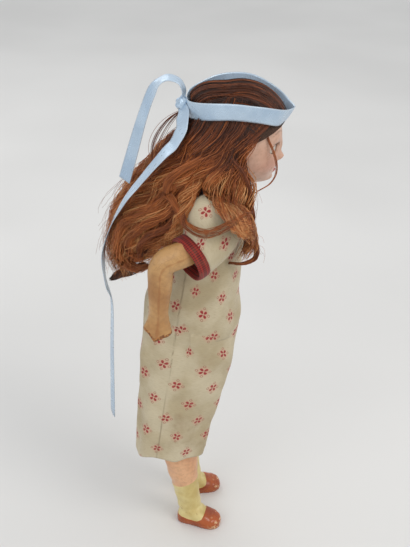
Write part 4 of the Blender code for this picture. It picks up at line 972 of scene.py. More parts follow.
def band_mesh(name, ring, half_width, half_thick):
    """A bound edge: a flattened tube along a closed ring, given with the axis that it goes round."""
    path, axis = ring
    out = unit(path - path.mean(0))
    e = circle(16)
    wave = (0.18 * Waves(41, 9.0)(path))[:, None, None]
    points = (path[:, None] + out[:, None] * (half_thick * power(np.cos(e), 0.8)[None, :, None] + wave)
              + axis * (half_width * power(np.sin(e), 0.8)[None, :, None] + wave))
    length = arc_u(path)[:-1] * MM
    mesh = raw_mesh(name, points.reshape(-1, 3), grid_faces(len(path), 16, True))
    lay_uv(mesh, grid_uv(len(path), 16, both_sides(np.arange(17) / 16 * 4 * half_width * MM), length, True))
    return outward(mesh)


def make_buttons():
    look = plain("button", srgb(214, 208, 192), srgb(190, 180, 160), 0.3)
    for number, height in enumerate(BUTTON_HEIGHTS, 1):
        profile = [(2.4, 0.0), (3.0, 0.12), (3.2, 0.45), (3.2, 0.9), (3.0, 1.25), (2.6, 1.4), (2.3, 1.3),
                   (2.0, 0.95), (0.6, 0.9)]
        holes = [("DIFFERENCE", turned_mesh([(0.36, -1), (0.36, 2)], 14, (dx, 0, 0))) for dx in (-0.75, 0.75)]
        mesh = cut(turned_mesh(profile, 48), *holes)
        x, y, z = coords(mesh).T
        back = max(bodice_back(height + 3.2 * t) for t in (-1, -0.5, 0, 0.5, 1)) + 0.4
        set_coords(mesh, from_torso(np.stack([x, back + z, height - y], 1) * MM))
        item = piece(f"shell_button_{number}", mesh, look, "torso", [f"back_button_{number}"])
        item.data.set_sharp_from_angle(angle=math.radians(35))


HEM, TOP = 70.5, 172.0
PRINT_ROW, PRINT_SHIFT = 40, (0.004, 0.0)   # the ring of the leg whose length the print follows
HEM_WIDE, HEM_FRONT, HEM_BACK = 16.4, 13.2, 34.5
SEAM_TOP, SEAM_SLOPE = (4.4, 209.5), 0.113
CROTCH = 127                  # height where the two legs join


def trouser_grid(side, rows=110, cols=132):
    """One leg from the hem up to the tilted waist, and which points are on the open inner side above the crotch."""
    t = np.linspace(0, 1, rows)[:, None]
    a = math.pi + circle(cols)[None, :]
    waist_front = WAIST_FRONT * math.cos(LEAN) + WAIST * math.sin(LEAN)
    waist_back = WAIST_BACK * math.cos(LEAN) - WAIST * math.sin(LEAN)
    waist_wide = (WAIST_WIDE - 0.5) / 2
    front = HEM_FRONT + (waist_front - HEM_FRONT) * (eased(t) + t) / 2
    back = HEM_BACK + (waist_back - HEM_BACK) * t
    half = HEM_WIDE + (waist_wide - HEM_WIDE) * t
    c, s = np.cos(a), np.sin(a)
    exponent = np.where(c > 0, 0.8 + np.where(s < 0, 0.3, 0) * (1 - t), 0.60 - 0.35 * t)
    loose = eased(c + 0.6)
    wave = (1 - 0.75 * t) * 0.6 * FOLD_DEPTH * fold(a, HEM + (TOP - HEM) * t) * loose * (1 - eased((t - 0.78) / 0.16))
    tuck = 0.4 * eased((t - 0.965) / 0.035)
    x = 0.5 + half + (half + wave - tuck) * power(c, exponent)
    y = (back - front) / 2 + ((back + front) / 2 + wave) * power(s, exponent)
    oval = np.clip(1 - (np.abs(x) / (WAIST_WIDE - tuck)) ** 2.353, 0, 1) ** 0.425
    ring = np.where(s > 0, back - tuck, tuck - front) * oval
    y = y + (ring - y) * eased((t - 0.70) / 0.26)
    top = HIP + (WAIST + 1.5 + math.sin(LEAN) * y[-1:]) / math.cos(LEAN)
    z = HEM + (top - HEM) * t
    points = np.stack([side * x, y, z], -1)
    out = np.stack([side * (0.35 + c), s, 0 * c], -1)
    crease = Waves(51 + side, 26.0)(points) * 0.8 + Waves(53 + side, 11.0)(points * (1, 1, 0.6)) * 0.34
    drag = np.sin((points[..., 2] * 0.9 + points[..., 1] * 1.6) / 7.0) * 0.28 * eased((points[..., 2] - 120) / 30)
    points = points + out * ((crease + drag) * loose * (1 - eased((t - 0.93) / 0.05)))[..., None]
    hem = 1.1 * np.sin(3 * a + 1.0) + 0.7 * np.sin(5 * a + side)
    points[..., 2] += hem * (1 - eased(t / 0.2))
    inner = (c < -0.25) & (z > CROTCH) & (np.abs(y - (back - front) / 2) < 0.6 * (back + front) / 2)
    return points, inner


def make_trouser_leg(side, cotton):
    points, inner = trouser_grid(side)
    rows, cols = points.shape[:2]
    faces = grid_faces(rows, cols)
    u = both_sides(arc_u(points[PRINT_ROW]) * MM)
    uv = turned_uv(grid_uv(rows, cols, u, points[:, 0, 2] * MM), PRINT_TILT, PRINT_SHIFT)
    flat = points.reshape(-1, 3)
    corners = flat[faces]
    across = (np.ptp(corners[..., 1], axis=1) > 6) & (corners[..., 2].min(1) > CROTCH)
    keep = ~(inner.reshape(-1)[faces].all(1) | across)
    mesh = raw_mesh(f"romper_{WORDS[side]}_leg_cloth", flat * MM, faces[keep])
    lay_uv(mesh, uv[keep])
    lean = SEAM_TOP[0] + (SEAM_TOP[1] - flat[:, 2]) * SEAM_SLOPE
    mark(mesh, "seam", np.where(np.abs(flat[:, 0]) > 16, np.abs(flat[:, 1] - lean), NO_SEAM) * MM)
    bm = bmesh.new()
    bm.from_mesh(mesh)
    bmesh.ops.recalc_face_normals(bm, faces=bm.faces)
    bmesh.ops.delete(bm, geom=[p for p in bm.verts if not p.link_faces], context="VERTS")
    bm.to_mesh(mesh)
    bm.free()
    work = linked("work", mesh)
    thick = work.modifiers.new("cloth", "SOLIDIFY")
    thick.thickness = CLOTH * MM
    thick.offset = -1.0
    mesh = baked(work)
    bpy.data.objects.remove(work, do_unlink=True)
    word = WORDS[side]
    cloth = piece(f"romper_{word}_leg_cloth", mesh, cotton, None, [f"romper_{word}_leg"])
    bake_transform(cloth)


SLEEVE_LENGTH, CUFF_RADIUS, CUFF_TILT = 15.0, 13.6, math.radians(58)
PUFF, PUFF_BACK = 11.0, math.radians(24)   # fullness of the sleeve's top, and how far behind the top it is fullest
SLEEVE_PRINT = 0.01653, -0.02488
SLEEVE_SAG = 6.0              # of the cuff below a level arm


def sleeve_ring(side, t, radius, a):
    """Points of the sleeve at t from the armhole to the cuff, at angles from its top."""
    tilt = CUFF_TILT * t * t
    reach = SLEEVE_LENGTH * t
    sag = SLEEVE_SAG * math.sin(ARM_BACK[side]) * t * t
    centre = np.array((side * (ARMHOLE_EDGE + 0.6 + 0.95 * reach), -sag, -1.25 * reach * t))
    up = np.array((side * math.sin(tilt), 0, math.cos(tilt)))
    return centre + radius[:, None] * (up * np.cos(a)[:, None] + np.array((0, 1.0, 0)) * np.sin(a)[:, None])


def make_sleeve(side, cotton, checked):
    a = math.pi + circle(110)
    puffed = np.cos(a - (ARM_BACK[side] - LEAN) - PUFF_BACK) - 1
    outer, inner = [], []
    for t in np.linspace(0, 1, 34):
        swell = math.sin(math.pi * t)
        gather = 0.30 * np.sin(19 * a) * (1 - eased(t / 0.55)) + 0.35 * np.sin(3 * a + 4 * t) * swell
        radius = 13.2 + (CUFF_RADIUS - 13.2) * t + 0.8 * swell + gather + PUFF * np.exp(3.0 * puffed) * swell ** 0.7
        outer.append(sleeve_ring(side, t, radius, a))
        inner.append(sleeve_ring(side, t, radius - CLOTH, a))
    outer, inner = np.array(outer), np.array(inner)
    u = both_sides(arc_u(outer[16]) * MM + SLEEVE_PRINT[0])
    steps = np.linalg.norm(np.diff(outer, axis=0), axis=2)
    v = np.concatenate([0 * steps[:1], np.cumsum(steps, 0)]) * MM + SLEEVE_PRINT[1]
    word = WORDS[side]
    mesh = shell_mesh(f"{word}_sleeve_cloth", outer, inner, u, v)
    mark(mesh, "seam", np.full(len(mesh.vertices), 9.0))
    set_coords(mesh, from_arm(coords(mesh) * MM, side))
    body = f"{word}_arm_body"
    cloth = piece(mesh.name, mesh, cotton, body, [f"{word}_sleeve"])
    axis = np.array((side * math.cos(CUFF_TILT), 0, -math.sin(CUFF_TILT)))
    ring = sleeve_ring(side, 1.0, np.full(110, CUFF_RADIUS - 0.4), a) + axis * 3.0
    mesh = band_mesh(f"{word}_sleeve_binding_cloth", (ring, axis), 3.7, 0.95)
    set_coords(mesh, from_arm(coords(mesh) * MM, side))
    binding = piece(mesh.name, mesh, checked, body, [f"{word}_sleeve_binding"])


# Ribbon, in the skull's frame and in millimetres

RIBBON_HALF, RIBBON_THICK = 5.0, 0.4
KNOT = np.array((0.0, 34.6, 11.9))
SHORT_TAIL = ((0, 34.4, 14.5), (0.5, 35.2, 20.0), (1, 38.8, 24.3), (1, 45.4, 25.0), (0.5, 50.6, 21.0),
              (0, 53.2, 14.6), (-0.5, 55.4, 4.1),
              (-1, 57.2, -7.5), (-2, 59.1, -21.9), (-3, 61.3, -38.5))
LONG_TAIL = ((-2, 34.8, 12.0), (-10, 33.8, 9.0), (-18, 33.6, 3.4), (-22.5, 36.5, -4), (-26.2, 41.8, -10.3),
             (-26.7, 47.4, -19.3), (-26.7, 52.8, -28.8),
             (-27.4, 58.8, -39.6), (-21.6, 64.6, -57.1), (-15.2, 67.4, -73.3), (-10, 67.8, -87), (-7, 64.6, -106),
             (-5, 59.2, -122), (-5, 55, -158), (-5, 48.6, -210))
TAILS = (
    ("short", SHORT_TAIL, ((0, -14), (2, -4), (3.4, -6), (5, -28), (9, -42))),
    ("long", LONG_TAIL, ((0, -60), (1, -46), (2, -31), (3, -20), (4, -14), (5, -10), (6, -7), (7, -3), (8, 3),
                         (10, 6), (11, -4), (12, -14), (14, -20))),
)


def strip(name, path, across, curl, width):
    """A thin ribbon along a path (n, 3) with unit vectors across it, how far its middle bows out and its half width."""
    n, cols = len(path), 11
    q = np.linspace(-1, 1, cols)
    face = unit(np.cross(np.gradient(path, axis=0), across))
    middle = path[:, None] + across[:, None] * (width[:, None] * q)[..., None]
    middle = middle + face[:, None] * (np.asarray(curl)[:, None] * (1 - q ** 2))[..., None]
    top = middle + face[:, None] * RIBBON_THICK / 2
    under = middle - face[:, None] * RIBBON_THICK / 2
    points = np.concatenate([top, under[:, ::-1]], 1)
    mesh = raw_mesh(name, points.reshape(-1, 3), grid_faces(n, 2 * cols))
    length = np.concatenate([[0], np.cumsum(np.linalg.norm(np.diff(path, axis=0), axis=1))])
    u = both_sides(np.concatenate([q, q[::-1], q[:1]]) * RIBBON_HALF * MM)
    lay_uv(mesh, grid_uv(n, 2 * cols, u, length * MM))
    return mesh, length[-1] * MM


def make_ribbon(look):
    a = np.linspace(0, math.tau, 241)[:-1]
    c, s = np.cos(a), np.sin(a)
    apex = np.exp(-(np.minimum(a, math.tau - a) / 0.16) ** 2)
    path = np.stack([27.3 * power(s, 0.95), 2.5 - np.where(c > 0, 27.2, 29.6) * c - 1.2 * apex,
                     21.6 + 2.4 * c - 7.5 * c ** 2 + 0.8 * s], 1)
    path[:, :2] *= (1 + 0.011 * np.sin(5 * a + 0.8) + 0.007 * np.sin(9 * a + 2.0))[:, None]
    lean = np.radians(11 + 9 * np.clip(c, 0, 1) ** 3 + 4 * np.sin(4 * a + 1.0))
    out = np.stack([s, -c, 0 * c], 1)
    across = out * np.sin(lean)[:, None] + np.array((0, 0, 1.0)) * np.cos(lean)[:, None]
    closed = np.concatenate([path, path[:1]]), np.concatenate([across, across[:1]])
    mesh, length = strip("ribbon_band_satin", *closed, np.full(241, 0.25), np.full(241, RIBBON_HALF))
    mesh = outward(mesh, close=True)
    set_coords(mesh, from_skull(coords(mesh) * MM))
    band = piece(mesh.name, mesh, look, "head", ["ribbon_band"])
    knot = ball_mesh(1.0, (0, 0, 0), 40, 56)
    p = coords(knot)
    wrap = 1 + 0.13 * np.sin(5 * np.arctan2(p[:, 1], p[:, 2]) + 2 * p[:, 0]) * (1 - p[:, 0] ** 2)
    pinch = 1 - 0.25 * np.exp(-(p[:, 0] / 0.3) ** 2)
    set_coords(knot, from_skull((p * (wrap * pinch)[:, None] * (5.0, 4.2, 5.0) + KNOT) * MM))
    lay_uv(knot, np.zeros((len(knot.loops), 2)))
    knot_piece = piece("ribbon_knot_satin", knot, look, "head", ["ribbon_knot"])
    for name, stops, turns in TAILS:
        count = 120
        at = np.linspace(0, len(stops) - 1, count)
        path = spline(stops, at)
        turn = np.radians(through(turns, at)[:, 0])
        along = unit(np.gradient(path, axis=0))
        level = np.array((1.0, 0, 0))
        across = level * np.cos(turn)[:, None] + np.cross(along, level) * np.sin(turn)[:, None]
        across = square_to(across, along)
        taper = RIBBON_HALF * (0.55 + 0.45 * eased(np.linspace(0, 1, count) / 0.08))
        mesh, length = strip(f"ribbon_tail_{name}_satin", path, across, 0.4 * np.sin(at * 1.7), taper)
        mesh = outward(mesh, close=True)
        set_coords(mesh, from_skull(coords(mesh) * MM))
        tail = piece(mesh.name, mesh, look, None, [f"ribbon_tail_{name}"])
        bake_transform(tail)


# Wig, in the skull's frame and in millimetres

# Lines that the hair follows on the right side, from the parting to the tips, front to back
FALLS = np.array((
    ((-3, -14, 26), (-11, -17.5, 20.5), (-17.5, -14.8, 12), (-24, -7.8, 4.5), (-27, -6, -3), (-27, -9, -11.5),
     (-26.5, -13.5, -22),
     (-26.5, -14, -33), (-25.5, -17, -47), (-24, -21, -60), (-24.5, -16, -69)),
    ((-3, -4, 29), (-17, -3, 25.5), (-26, -1, 13.5), (-29.5, 5, 2), (-32, 10.5, -9), (-34.5, 13, -19), (-37, 9.5, -26),
     (-44, 3, -31.5), (-46, -6, -37), (-33, -15, -50), (-25.5, -15, -68)),
    ((-3, 1, 29.5), (-17, 2, 26), (-27, 4, 13), (-30, 11, 2), (-32, 18, -9), (-33.5, 22.5, -20), (-35, 25.5, -30),
     (-36.5, 27, -40), (-37, 29, -52), (-35, 37, -65), (-31, 45, -78)),
    ((-3, 8, 29.5), (-16, 11, 26), (-25, 15, 13), (-28.5, 20, 1.5), (-30, 26.5, -10), (-31, 33, -21), (-31, 40.5, -33),
     (-30, 48, -45), (-28, 54.5, -59), (-27, 57, -74), (-25, 53, -90)),
    ((-2.5, 15, 27.5), (-11, 20, 24), (-18, 25, 13), (-20, 29, 2), (-21, 34.5, -10), (-22, 41, -21), (-22, 48.5, -32),
     (-21, 56.5, -45), (-19.5, 62.5, -61), (-18, 63.5, -80), (-17, 58, -98)),
    ((0, 20, 25), (0, 27, 19), (0, 31, 11), (0, 33, 0), (0, 38, -12), (0, 45, -24), (0, 53, -36),
     (0, 60, -48), (0, 65.5, -63), (0, 67, -82), (0, 62, -102)),
), float)
SLEEVE_BALL, SLEEVE_BALL_RADIUS = np.array((-34.0, 3.5, -47.5)), 18.6   # hair lies outside it
PARTED = 1.5                  # between the line in front of the sleeve and the line behind it
STEPS = 26
# Single locks: route, strands, spread, tone, how much they wave, which sides have it
LOCKS = (
    (((-27, 14, 6), (-29, 8, -2.5), (-29, -2.5, -11.5), (-28, -9, -23.5), (-27.5, -11.5, -32), (-26.5, -12.5, -42),
      (-25, -16.5, -51.5),
      (-24, -21, -60), (-24, -21, -66), (-25.5, -14.5, -70), (-27, -6, -70)), 90, 2.0, 0.36, 0.6, (-1, 1)),
    (((-14, -13, 22), (-17, -12, 14), (-18.5, -14.5, 6), (-18, -18.2, 0.2), (-18, -22, -7.3), (-18, -23.1, -14.3),
      (-19, -20.7, -20.2), (-23, -14.5, -23.9),
      (-26, -11, -26)), 9, 0.7, 0.5, 0.3, (-1, 1)),
    (((-36, 27, -36), (-40.5, 24.5, -42), (-45, 18.3, -43.4), (-50.6, 10.5, -41.2), (-49.2, 1.7, -35.9),
      (-41, -6, -32.4), (-31, -12, -34)),
     26, 3.4, 0.6, 0.25, (-1, 1)),
    (((-24, 18, 2), (-28, 24, -8), (-30.5, 31, -20), (-31.5, 37, -31), (-31, 43, -40), (-28.5, 50, -46.5),
      (-25.5, 56.5, -54),
      (-25, 59.5, -64.5), (-26, 58.5, -73.5), (-28, 53.5, -80), (-30, 46, -81), (-32, 40, -77)), 150, 3.6, 0.62, 0.7,
      (-1, 1)),
    (((-26, 15, 0), (-30.5, 22, -8), (-33, 30, -14), (-34.5, 36, -20.5), (-35.5, 36.5, -27), (-36, 31.5, -33),
      (-37, 28, -40),
      (-37, 29.5, -48)), 90, 2.4, 0.58, 0.3, (-1, 1)),
    (((-27, 15, -8), (-31, 23, -19), (-33, 28, -30), (-33.5, 33, -38.5), (-33, 39.5, -45.5), (-31, 47.5, -52.5),
      (-29, 52.5, -60.5), (-29.5, 53, -68),
      (-31, 49, -73.5), (-33, 43.5, -73)), 120, 3.0, 0.55, 0.8, (-1, 1)),
    (((-28, 18, -16), (-33, 25, -28), (-35, 28, -38), (-35.5, 31, -46), (-35, 37, -52), (-34, 43.5, -57.5),
      (-33.5, 47, -64.5), (-34, 46, -71.5)),
     70, 2.2, 0.42, 0.8, (-1, 1)),
    (((-21, 42, -82), (-19, 47, -87), (-15, 52, -92), (-12.5, 57.5, -97), (-9, 62, -103)), 90, 3.2, 0.02, 0.4, (-1,)),
)
# Loose hairs that leave the knot: the outer and the inner line
KNOT_ARCS = (
    ((-2, 33.5, 10), (-4, 41.5, 5), (-5, 47.2, -1.8), (-6, 50.2, -10.3), (-6, 49.3, -18.7), (-8, 46, -26),
     (-10, 45, -33)),
    ((-2, 33.5, 9), (-5, 37.6, 4.2), (-7, 41, -3.1), (-9, 43.5, -11.6), (-10, 44.5, -20), (-12, 44, -27),
     (-14, 45, -33)),
)


def guide_points(g, s, parts=1.0):
    """Points of the fall between its lines: g (n, m) across them, s (n, m) along them; it parts round the sleeve."""
    apart = parts * eased((s - 3.6) / 2.0)
    g = g + 0 * s
    g = g * (1 - apart) + apart * np.where(g[:, :1] < PARTED, np.minimum(g, 1.02), np.maximum(g, 1.98))
    low = np.clip(g.astype(int), 0, len(FALLS) - 2)
    share = (g - low)[..., None]
    lines = np.stack([spline(line, s) for line in FALLS])
    rows, cols = np.indices(g.shape)
    return lines[low, rows, cols] * (1 - share) + lines[low + 1, rows, cols] * share


def off_sleeve(points, lift):
    """Points moved out of the ball that stands for the sleeve's fullness, by each strand's own lift."""
    radius = SLEEVE_BALL_RADIUS + lift[:, None, None]
    away = points - SLEEVE_BALL
    far = np.linalg.norm(away, axis=-1, keepdims=True)
    return np.where(far < radius, SLEEVE_BALL + away * radius / np.maximum(far, 1e-6), points)


def outwards(points):
    """Unit vectors away from the middle of the head and the line down the back."""
    z = points[..., 2]
    return unit(points - np.stack([0 * z, np.interp(-z, (0, 100), (4, 30)), np.where(z > 0, 0.3 * z, z)], -1))


def waved(points, rng, size, clump, length, frizz=0.2):
    """Strands (n, m, 3) set waving, each clump together."""
    along = unit(np.gradient(points, axis=1))
    out = outwards(points)
    aside = np.cross(along, out)
    travel = np.cumsum(np.linalg.norm(np.diff(points, axis=1, prepend=points[:, :1]), axis=-1), axis=1)
    phase = clump[:, None] + rng.normal(0, 0.35, (len(points), 1))
    beat = math.tau / (length * (1 + 0.12 * np.sin(clump * 3.1)))[:, None]
    wave = np.sin(travel * beat + phase)
    roll = np.cos(travel * beat * 0.93 + phase + 0.6)
    fuzz = frizz * np.sin(travel * math.tau / 7.5 + rng.uniform(0, math.tau, (len(points), 1)))
    return points + aside * (size * wave + fuzz)[..., None] + out * (0.55 * size * roll + fuzz)[..., None]


def strands(points, thick, tone):
    """Three-sided tubes with closed ends along strands (n, m, 3), as points, triangles and tones."""
    n, m = points.shape[:2]
    along = unit(np.gradient(points, axis=1))
    first = unit(np.cross(along, np.array((0.31, 0.52, 0.79))))
    second = np.cross(along, first)
    e = np.radians((0, 120, 240))[:, None]
    ring = first[:, :, None] * np.cos(e) + second[:, :, None] * np.sin(e)
    ring = points[:, :, None] + thick[..., None, None] * ring
    base = (np.arange(n) * m * 3)[:, None, None] + (np.arange(m - 1) * 3)[:, None]
    k = np.arange(3)
    a, b = base + k, base + (k + 1) % 3
    sides = halves(np.stack([a, b, b + 3, a + 3], -1).reshape(-1, 4))
    start = np.arange(n)[:, None] * m * 3
    caps = np.concatenate([start + np.array((2, 1, 0)), start + (m - 1) * 3 + np.array((0, 1, 2))])
    return ring.reshape(-1, 3), np.concatenate([sides, caps]), np.repeat(tone.ravel(), 3)


def under_layer(low, high, deep, tone, last=9.6, parts=1.0):
    """A dark sheet of hair under the strands, between two of the fall's lines; its dark tone is painted shade within
    the hair.
    """
    rows, cols = 60, 26
    s = np.broadcast_to(np.linspace(1.2, last, rows), (cols, rows))
    g = np.linspace(low, high, cols)[:, None]
    middle = guide_points(g, s, parts)
    out = outwards(middle)
    ridge = 0.7 * np.sin(g * 17 + 0.35 * s) + 0.8 * Waves(71, 16.0)(middle)
    near = middle - out * (deep - ridge)[..., None]
    far = near - out * 1.2
    points = np.concatenate([near.transpose(1, 0, 2), far.transpose(1, 0, 2)[:, ::-1]], 1)
    faces = grid_faces(rows, 2 * cols)
    ends = [np.array([[i, i + 1, 2 * cols - 2 - i, 2 * cols - 1 - i] for i in range(cols - 1)])]
    ends.append((rows - 1) * 2 * cols + ends[0][:, ::-1])
    return points.reshape(-1, 3), halves(np.concatenate([faces, *ends])), np.full(rows * 2 * cols, tone)


def hair_mesh(name, groups):
    points, faces, tones, count = [], [], [], 0
    for p, f, t in groups:
        points.append(p)
        faces.append(f + count)
        tones.append(t)
        count += len(p)
    mesh = raw_mesh(name, from_skull(np.concatenate(points) * MM), np.concatenate(faces))
    mark(mesh, "tone", np.clip(np.concatenate(tones), 0, 1))
    return mesh


def fall_strands(rng, count, low, high, clumps):
    """Strands of the fall between two lines, drawn together in clumps towards their tips."""
    centre = rng.uniform(low, high, clumps)
    shade = rng.normal(0, 0.2, clumps)
    rise = rng.normal(0, 0.8, clumps)
    beat = 1.9 * centre + rng.normal(0, 0.4, clumps)
    mine = rng.integers(0, clumps, count)
    root = np.clip(centre[mine] + rng.normal(0, 0.35, count), low, high)
    deep = rng.uniform(0, 1, count) ** 1.3
    end = rng.uniform(8.4, 10.0, count)
    s = 1.0 + (end[:, None] - 1.0) * np.linspace(0, 1, STEPS)
    t = (s - 1) / 9
    g = root[:, None] + (centre[mine] - root)[:, None] * eased(t * 1.3) * 0.85
    points = guide_points(g, s)
    out = outwards(points)
    sink = (0.4 + 3.6 * deep)[:, None] * (0.35 + 0.65 * eased(t * 3)) + 2.2 * (1 - eased(t * 4))
    sink = sink - rise[mine][:, None] * eased(t * 3)
    points = points - out * sink[..., None] + 0.8 * rng.normal(0, 1, (count, 1, 3)) * (0.3 + t)[..., None]
    points = off_sleeve(waved(points, rng, 3.3 * eased((s - 1.8) / 3.2), beat[mine], 27.0), 2.0 * (1 - deep))
    thick = rng.uniform(0.13, 0.24, (count, 1)) * (1 - 0.7 * eased((np.linspace(0, 1, STEPS) - 0.8) / 0.2))
    # Painted shade: deeper strands are set darker, and the roots are darkened as a painted shadow under the ribbon band
    tone = 0.50 + shade[mine] + rng.normal(0, 0.11, count) - 0.22 * deep
    tone = tone[:, None] - 0.50 * (1 - eased(t * 2.2)) + 0.28 * eased((t - 0.2) * 2.2)
    return strands(points, thick, tone)


def lock_strands(rng, route, count, spread, tone, wave, side):
    """A single lock: strands scattered round a route, thin at its root and tip."""
    at = np.linspace(0, len(route) - 1, 34)
    path = spline(route, at)
    t = np.linspace(0, 1, 34)
    swell = (0.35 + 0.65 * np.sin(math.pi * np.clip(t * 1.05, 0, 1)) ** 0.7) * spread
    turn = rng.uniform(0, math.tau, count)
    far = np.sqrt(rng.uniform(0, 1, count))
    along, across, other = tube_frames(path, (0.9, 0.2, 0.4))
    twist = turn[:, None] + 1.5 * wave * t
    offset = across * np.cos(twist)[..., None] + other * np.sin(twist)[..., None]
    points = path + offset * (far[:, None] * swell)[..., None]
    points = waved(points, rng, wave * spread / 3 * eased(t * 2) + 0 * twist, rng.normal(1.0, 0.5, count), 21.0,
                   0.2 * wave)
    thick = rng.uniform(0.13, 0.22, (count, 1)) * (1 - 0.75 * eased((t - 0.8) / 0.2))
    # Painted shade: strands near the lock's core are set darker
    shade = tone + rng.normal(0, 0.1, count)[:, None] + 0.12 * (t - 0.5) - 0.15 * (1 - far[:, None])
    points[..., 0] *= -side
    return strands(points, thick, shade)


def arc_strands(rng, count):
    """Loose hairs in smooth arcs between the two lines from the knot."""
    outer, inner = (spline(line, np.linspace(0, len(line) - 1, STEPS)) for line in KNOT_ARCS)
    share = rng.uniform(0, 1, (count, 1, 1))
    points = outer * (1 - share) + inner * share
    points = points + rng.normal(0, 0.7, (count, 1, 3)) * np.linspace(0.2, 1, STEPS)[:, None]
    return strands(points, np.full((count, STEPS), 0.13), rng.uniform(0.1, 0.45, (count, 1)) + np.zeros(STEPS))


def flyaways(rng, count, low, high, side):
    """Single loose hairs that stand off the fall."""
    s = 4.0 + rng.uniform(3.5, 6.0, (count, 1)) * np.linspace(0, 1, STEPS)
    points = guide_points(rng.uniform(low, high, (count, 1)), np.minimum(s, 10.0))
    out = outwards(points)
    t = np.linspace(0, 1, STEPS)
    away = rng.uniform(1.0, 7.5, (count, 1)) * t ** 1.6
    points = points + out * away[..., None] + rng.normal(0, 3.0, (count, 1, 3)) * (t ** 1.5)[:, None]
    points = waved(points, rng, 2.0 * t + 0 * s, rng.uniform(0, math.tau, count), 30.0)
    points[..., 0] *= -side
    return strands(points, np.full((count, STEPS), 0.07), rng.uniform(0.3, 0.7, (count, 1)) + 0 * s)


CROWN_FULL, HAIRLINE = 6.5, 14   # of the combed hair behind the top; how far its front edge is drawn back, in degrees


def make_crown(look):
    """Hair combed back over the crown, above and under the ribbon."""
    rng = np.random.default_rng(90)
    tilt = about_x(math.radians(-30))

    def edge(a):
        return np.radians(90 - HAIRLINE * np.clip(-np.sin(a), 0, 1))

    def cap(a, polar, lift):
        way = np.stack([np.sin(polar) * np.cos(a), np.sin(polar) * np.sin(a), np.cos(polar) + 0 * a], -1) @ tilt.T
        tall = np.where(way[..., 2] > 0, SKULL_TOP, CHIN_DROP) + lift
        return np.stack([way[..., 0] * (SKULL_WIDE + lift), way[..., 1] * (SKULL_BACK + lift), way[..., 2] * tall], -1)

    a = circle(72)[None, :]
    polar = 0.02 + np.linspace(0, 1, 40)[:, None] * edge(a)
    grid = np.concatenate([cap(a, polar, 3.0), cap(a, polar, 2.3)[::-1]])
    quads = grid_faces(80, 72, True)
    # The under cap's dark tone is painted shade beneath the combed strands
    under = grid.reshape(-1, 3), halves(quads), np.full(80 * 72, 0.1)
    count = 620
    start = rng.uniform(-1, 1, count)
    lift = 2.9 + 1.3 * rng.uniform(0, 1, count)
    first = 26 * start[:, None] ** 2 - 54
    theta = np.radians(first + (68 - first) * np.linspace(0, 1, STEPS)) + rng.normal(0, 0.04, (count, 1))
    drift = start[:, None] * (1 - 0.10 * np.sin(theta)) + 0.03 * np.sin(3 * theta + rng.uniform(0, 6, (count, 1)))
    x = np.clip(drift, -0.985, 0.985)
    around = np.sqrt(1 - x ** 2)
    swept = np.degrees(theta)
    full = lift[:, None] + CROWN_FULL * eased((swept - 20) / 36) * (1 - 0.6 * eased((swept - 60) / 8)) * around ** 2
    points = np.stack([x * (SKULL_WIDE + lift[:, None]), around * np.sin(theta) * (SKULL_BACK + full),
                       around * np.cos(theta) * (SKULL_TOP + full)], -1)
    band = 0.22 * np.sin(start * 23) + 0.12 * np.sin(start * 61)
    tone = -0.02 + band[:, None] + rng.normal(0, 0.1, (count, 1)) + 0.10 * np.cos(theta)
    thick = rng.uniform(0.12, 0.22, (count, 1)) + 0 * theta
    count = 520
    begin = rng.uniform(-6, 78, (count, 1))
    along = np.linspace(0, 1, STEPS)
    swept = begin + rng.uniform(40, 80, (count, 1)) * along
    a = np.radians(-90 + np.where(np.arange(count) % 2, 1, -1)[:, None] * swept)
    deep = rng.uniform(0, 24, (count, 1)) * (1 - 0.4 * along)
    line = cap(a, edge(a) - np.radians(deep), 3.1 + 0.9 * rng.uniform(0, 1, (count, 1)))
    shade = 0.16 + rng.normal(0, 0.11, (count, 1)) + 0.10 * along
    hairline = strands(line, rng.uniform(0.12, 0.2, (count, 1)) + 0 * swept, shade)
    mesh = hair_mesh("hair_crown_strands", [under, strands(points, thick, tone), hairline])
    piece(mesh.name, mesh, look, "head", ["hair_crown"])


def mirrored(groups, side):
    """Hair made for the right side, turned over for the left."""
    return [(p * (-side, 1, 1), f if side < 0 else f[:, ::-1], t) for p, f, t in groups]


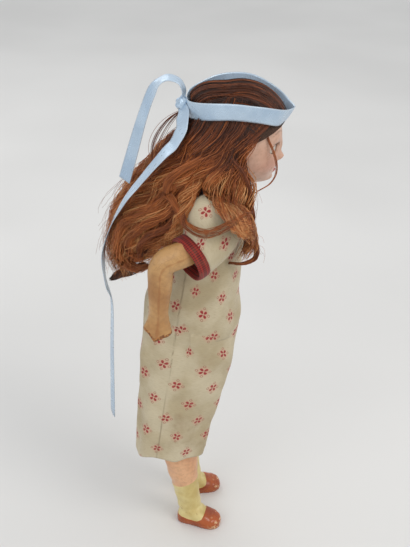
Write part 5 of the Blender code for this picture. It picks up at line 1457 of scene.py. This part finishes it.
def make_falls(look):
    """The long waved hair of each side, and of the back, which parts round the sleeves."""

    def hang(word, groups):
        mesh = hair_mesh(f"hair_{word}_locks", groups)
        item = piece(mesh.name, mesh, look, None, [f"hair_fall_{word}"])
        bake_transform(item)

    for side, word in WORDS.items():
        rng = np.random.default_rng(95 + side)
        # The low tones of the under sheets are painted shade within the hair
        sheets = [under_layer(0.05, 1.0, 3.2, 0.12), under_layer(2.0, 3.4, 3.6, 0.10),
                  under_layer(0.1, 3.4, 7.0, 0.0, 6.0, 0.0)]
        groups = mirrored([*sheets, fall_strands(rng, 1250, 0.0, 3.4, 40)], side)
        for route, *lock, sides in LOCKS:
            if side in sides:
                groups.append(lock_strands(rng, np.array(route, float), *lock, side))
        groups.append(flyaways(rng, 40, 0.0, 3.4, side))
        hang(word, groups)
    rng = np.random.default_rng(98)
    groups = []
    for side in WORDS:
        groups += mirrored([under_layer(3.2, 5.0, 4.0, 0.10), fall_strands(rng, 620, 3.2, 5.0, 22)], side)
        groups.append(flyaways(rng, 40, 3.2, 5.0, side))
    groups.append(arc_strands(rng, 16))
    hang("back", groups)


# Pieces that keep their solids

def finish_solids():
    looks = {
        "board": plain("board", srgb(150, 124, 92), srgb(118, 92, 64), 0.85, 240),
        "elastic": plain("elastic", srgb(206, 198, 180), srgb(170, 158, 136), 0.85, 900),
        "steel": plain("steel", srgb(178, 176, 172), srgb(132, 126, 118), 0.4, 500, 1.0),
        "lead": plain("lead", srgb(120, 120, 124), srgb(88, 88, 92), 0.6, 300, 1.0),
        "bung": plain("bung", srgb(184, 146, 100), srgb(150, 112, 70), 0.7, 260),
        "net": plain("net", srgb(74, 50, 36), srgb(50, 33, 24), 0.9, 1400, depth=0.0005),
    }
    f, colour, rough, normal = painted_skin("skin_body", srgb(206, 162, 122), srgb(182, 134, 92), 0.42)
    looks["skin"] = f.done(colour, rough, normal)
    nodes = {
        "torso_shell": "skin", "crown_pate": "board", "wig_cap": "net", "eye_rocker": "steel", "eye_weight": "lead",
        "neck_bung": "bung", "neck_hook": "steel", "neck_washer": "steel", "arm_elastic": "elastic",
        "leg_elastic": "elastic", "neck_elastic": "elastic",
    }
    for word in WORDS.values():
        nodes[f"{word}_arm_washer"] = nodes[f"{word}_leg_washer"] = "steel"
    for node, look in nodes.items():
        item = bpy.data.objects[node]
        for place in item.material_slots:
            place.material = looks[look]


def build():
    finish_solids()
    make_head()
    make_eyes()
    limbs, legs = limb_paint(), leg_paint()
    cotton, checked = calico(), gingham()
    make_bodice(cotton, checked)
    make_buttons()
    for side in WORDS:
        make_arm(side, limbs)
        make_leg(side, legs)
        make_trouser_leg(side, cotton)
        make_sleeve(side, cotton, checked)
    auburn = hair()
    make_crown(auburn)
    make_falls(auburn)
    make_ribbon(satin())


build()
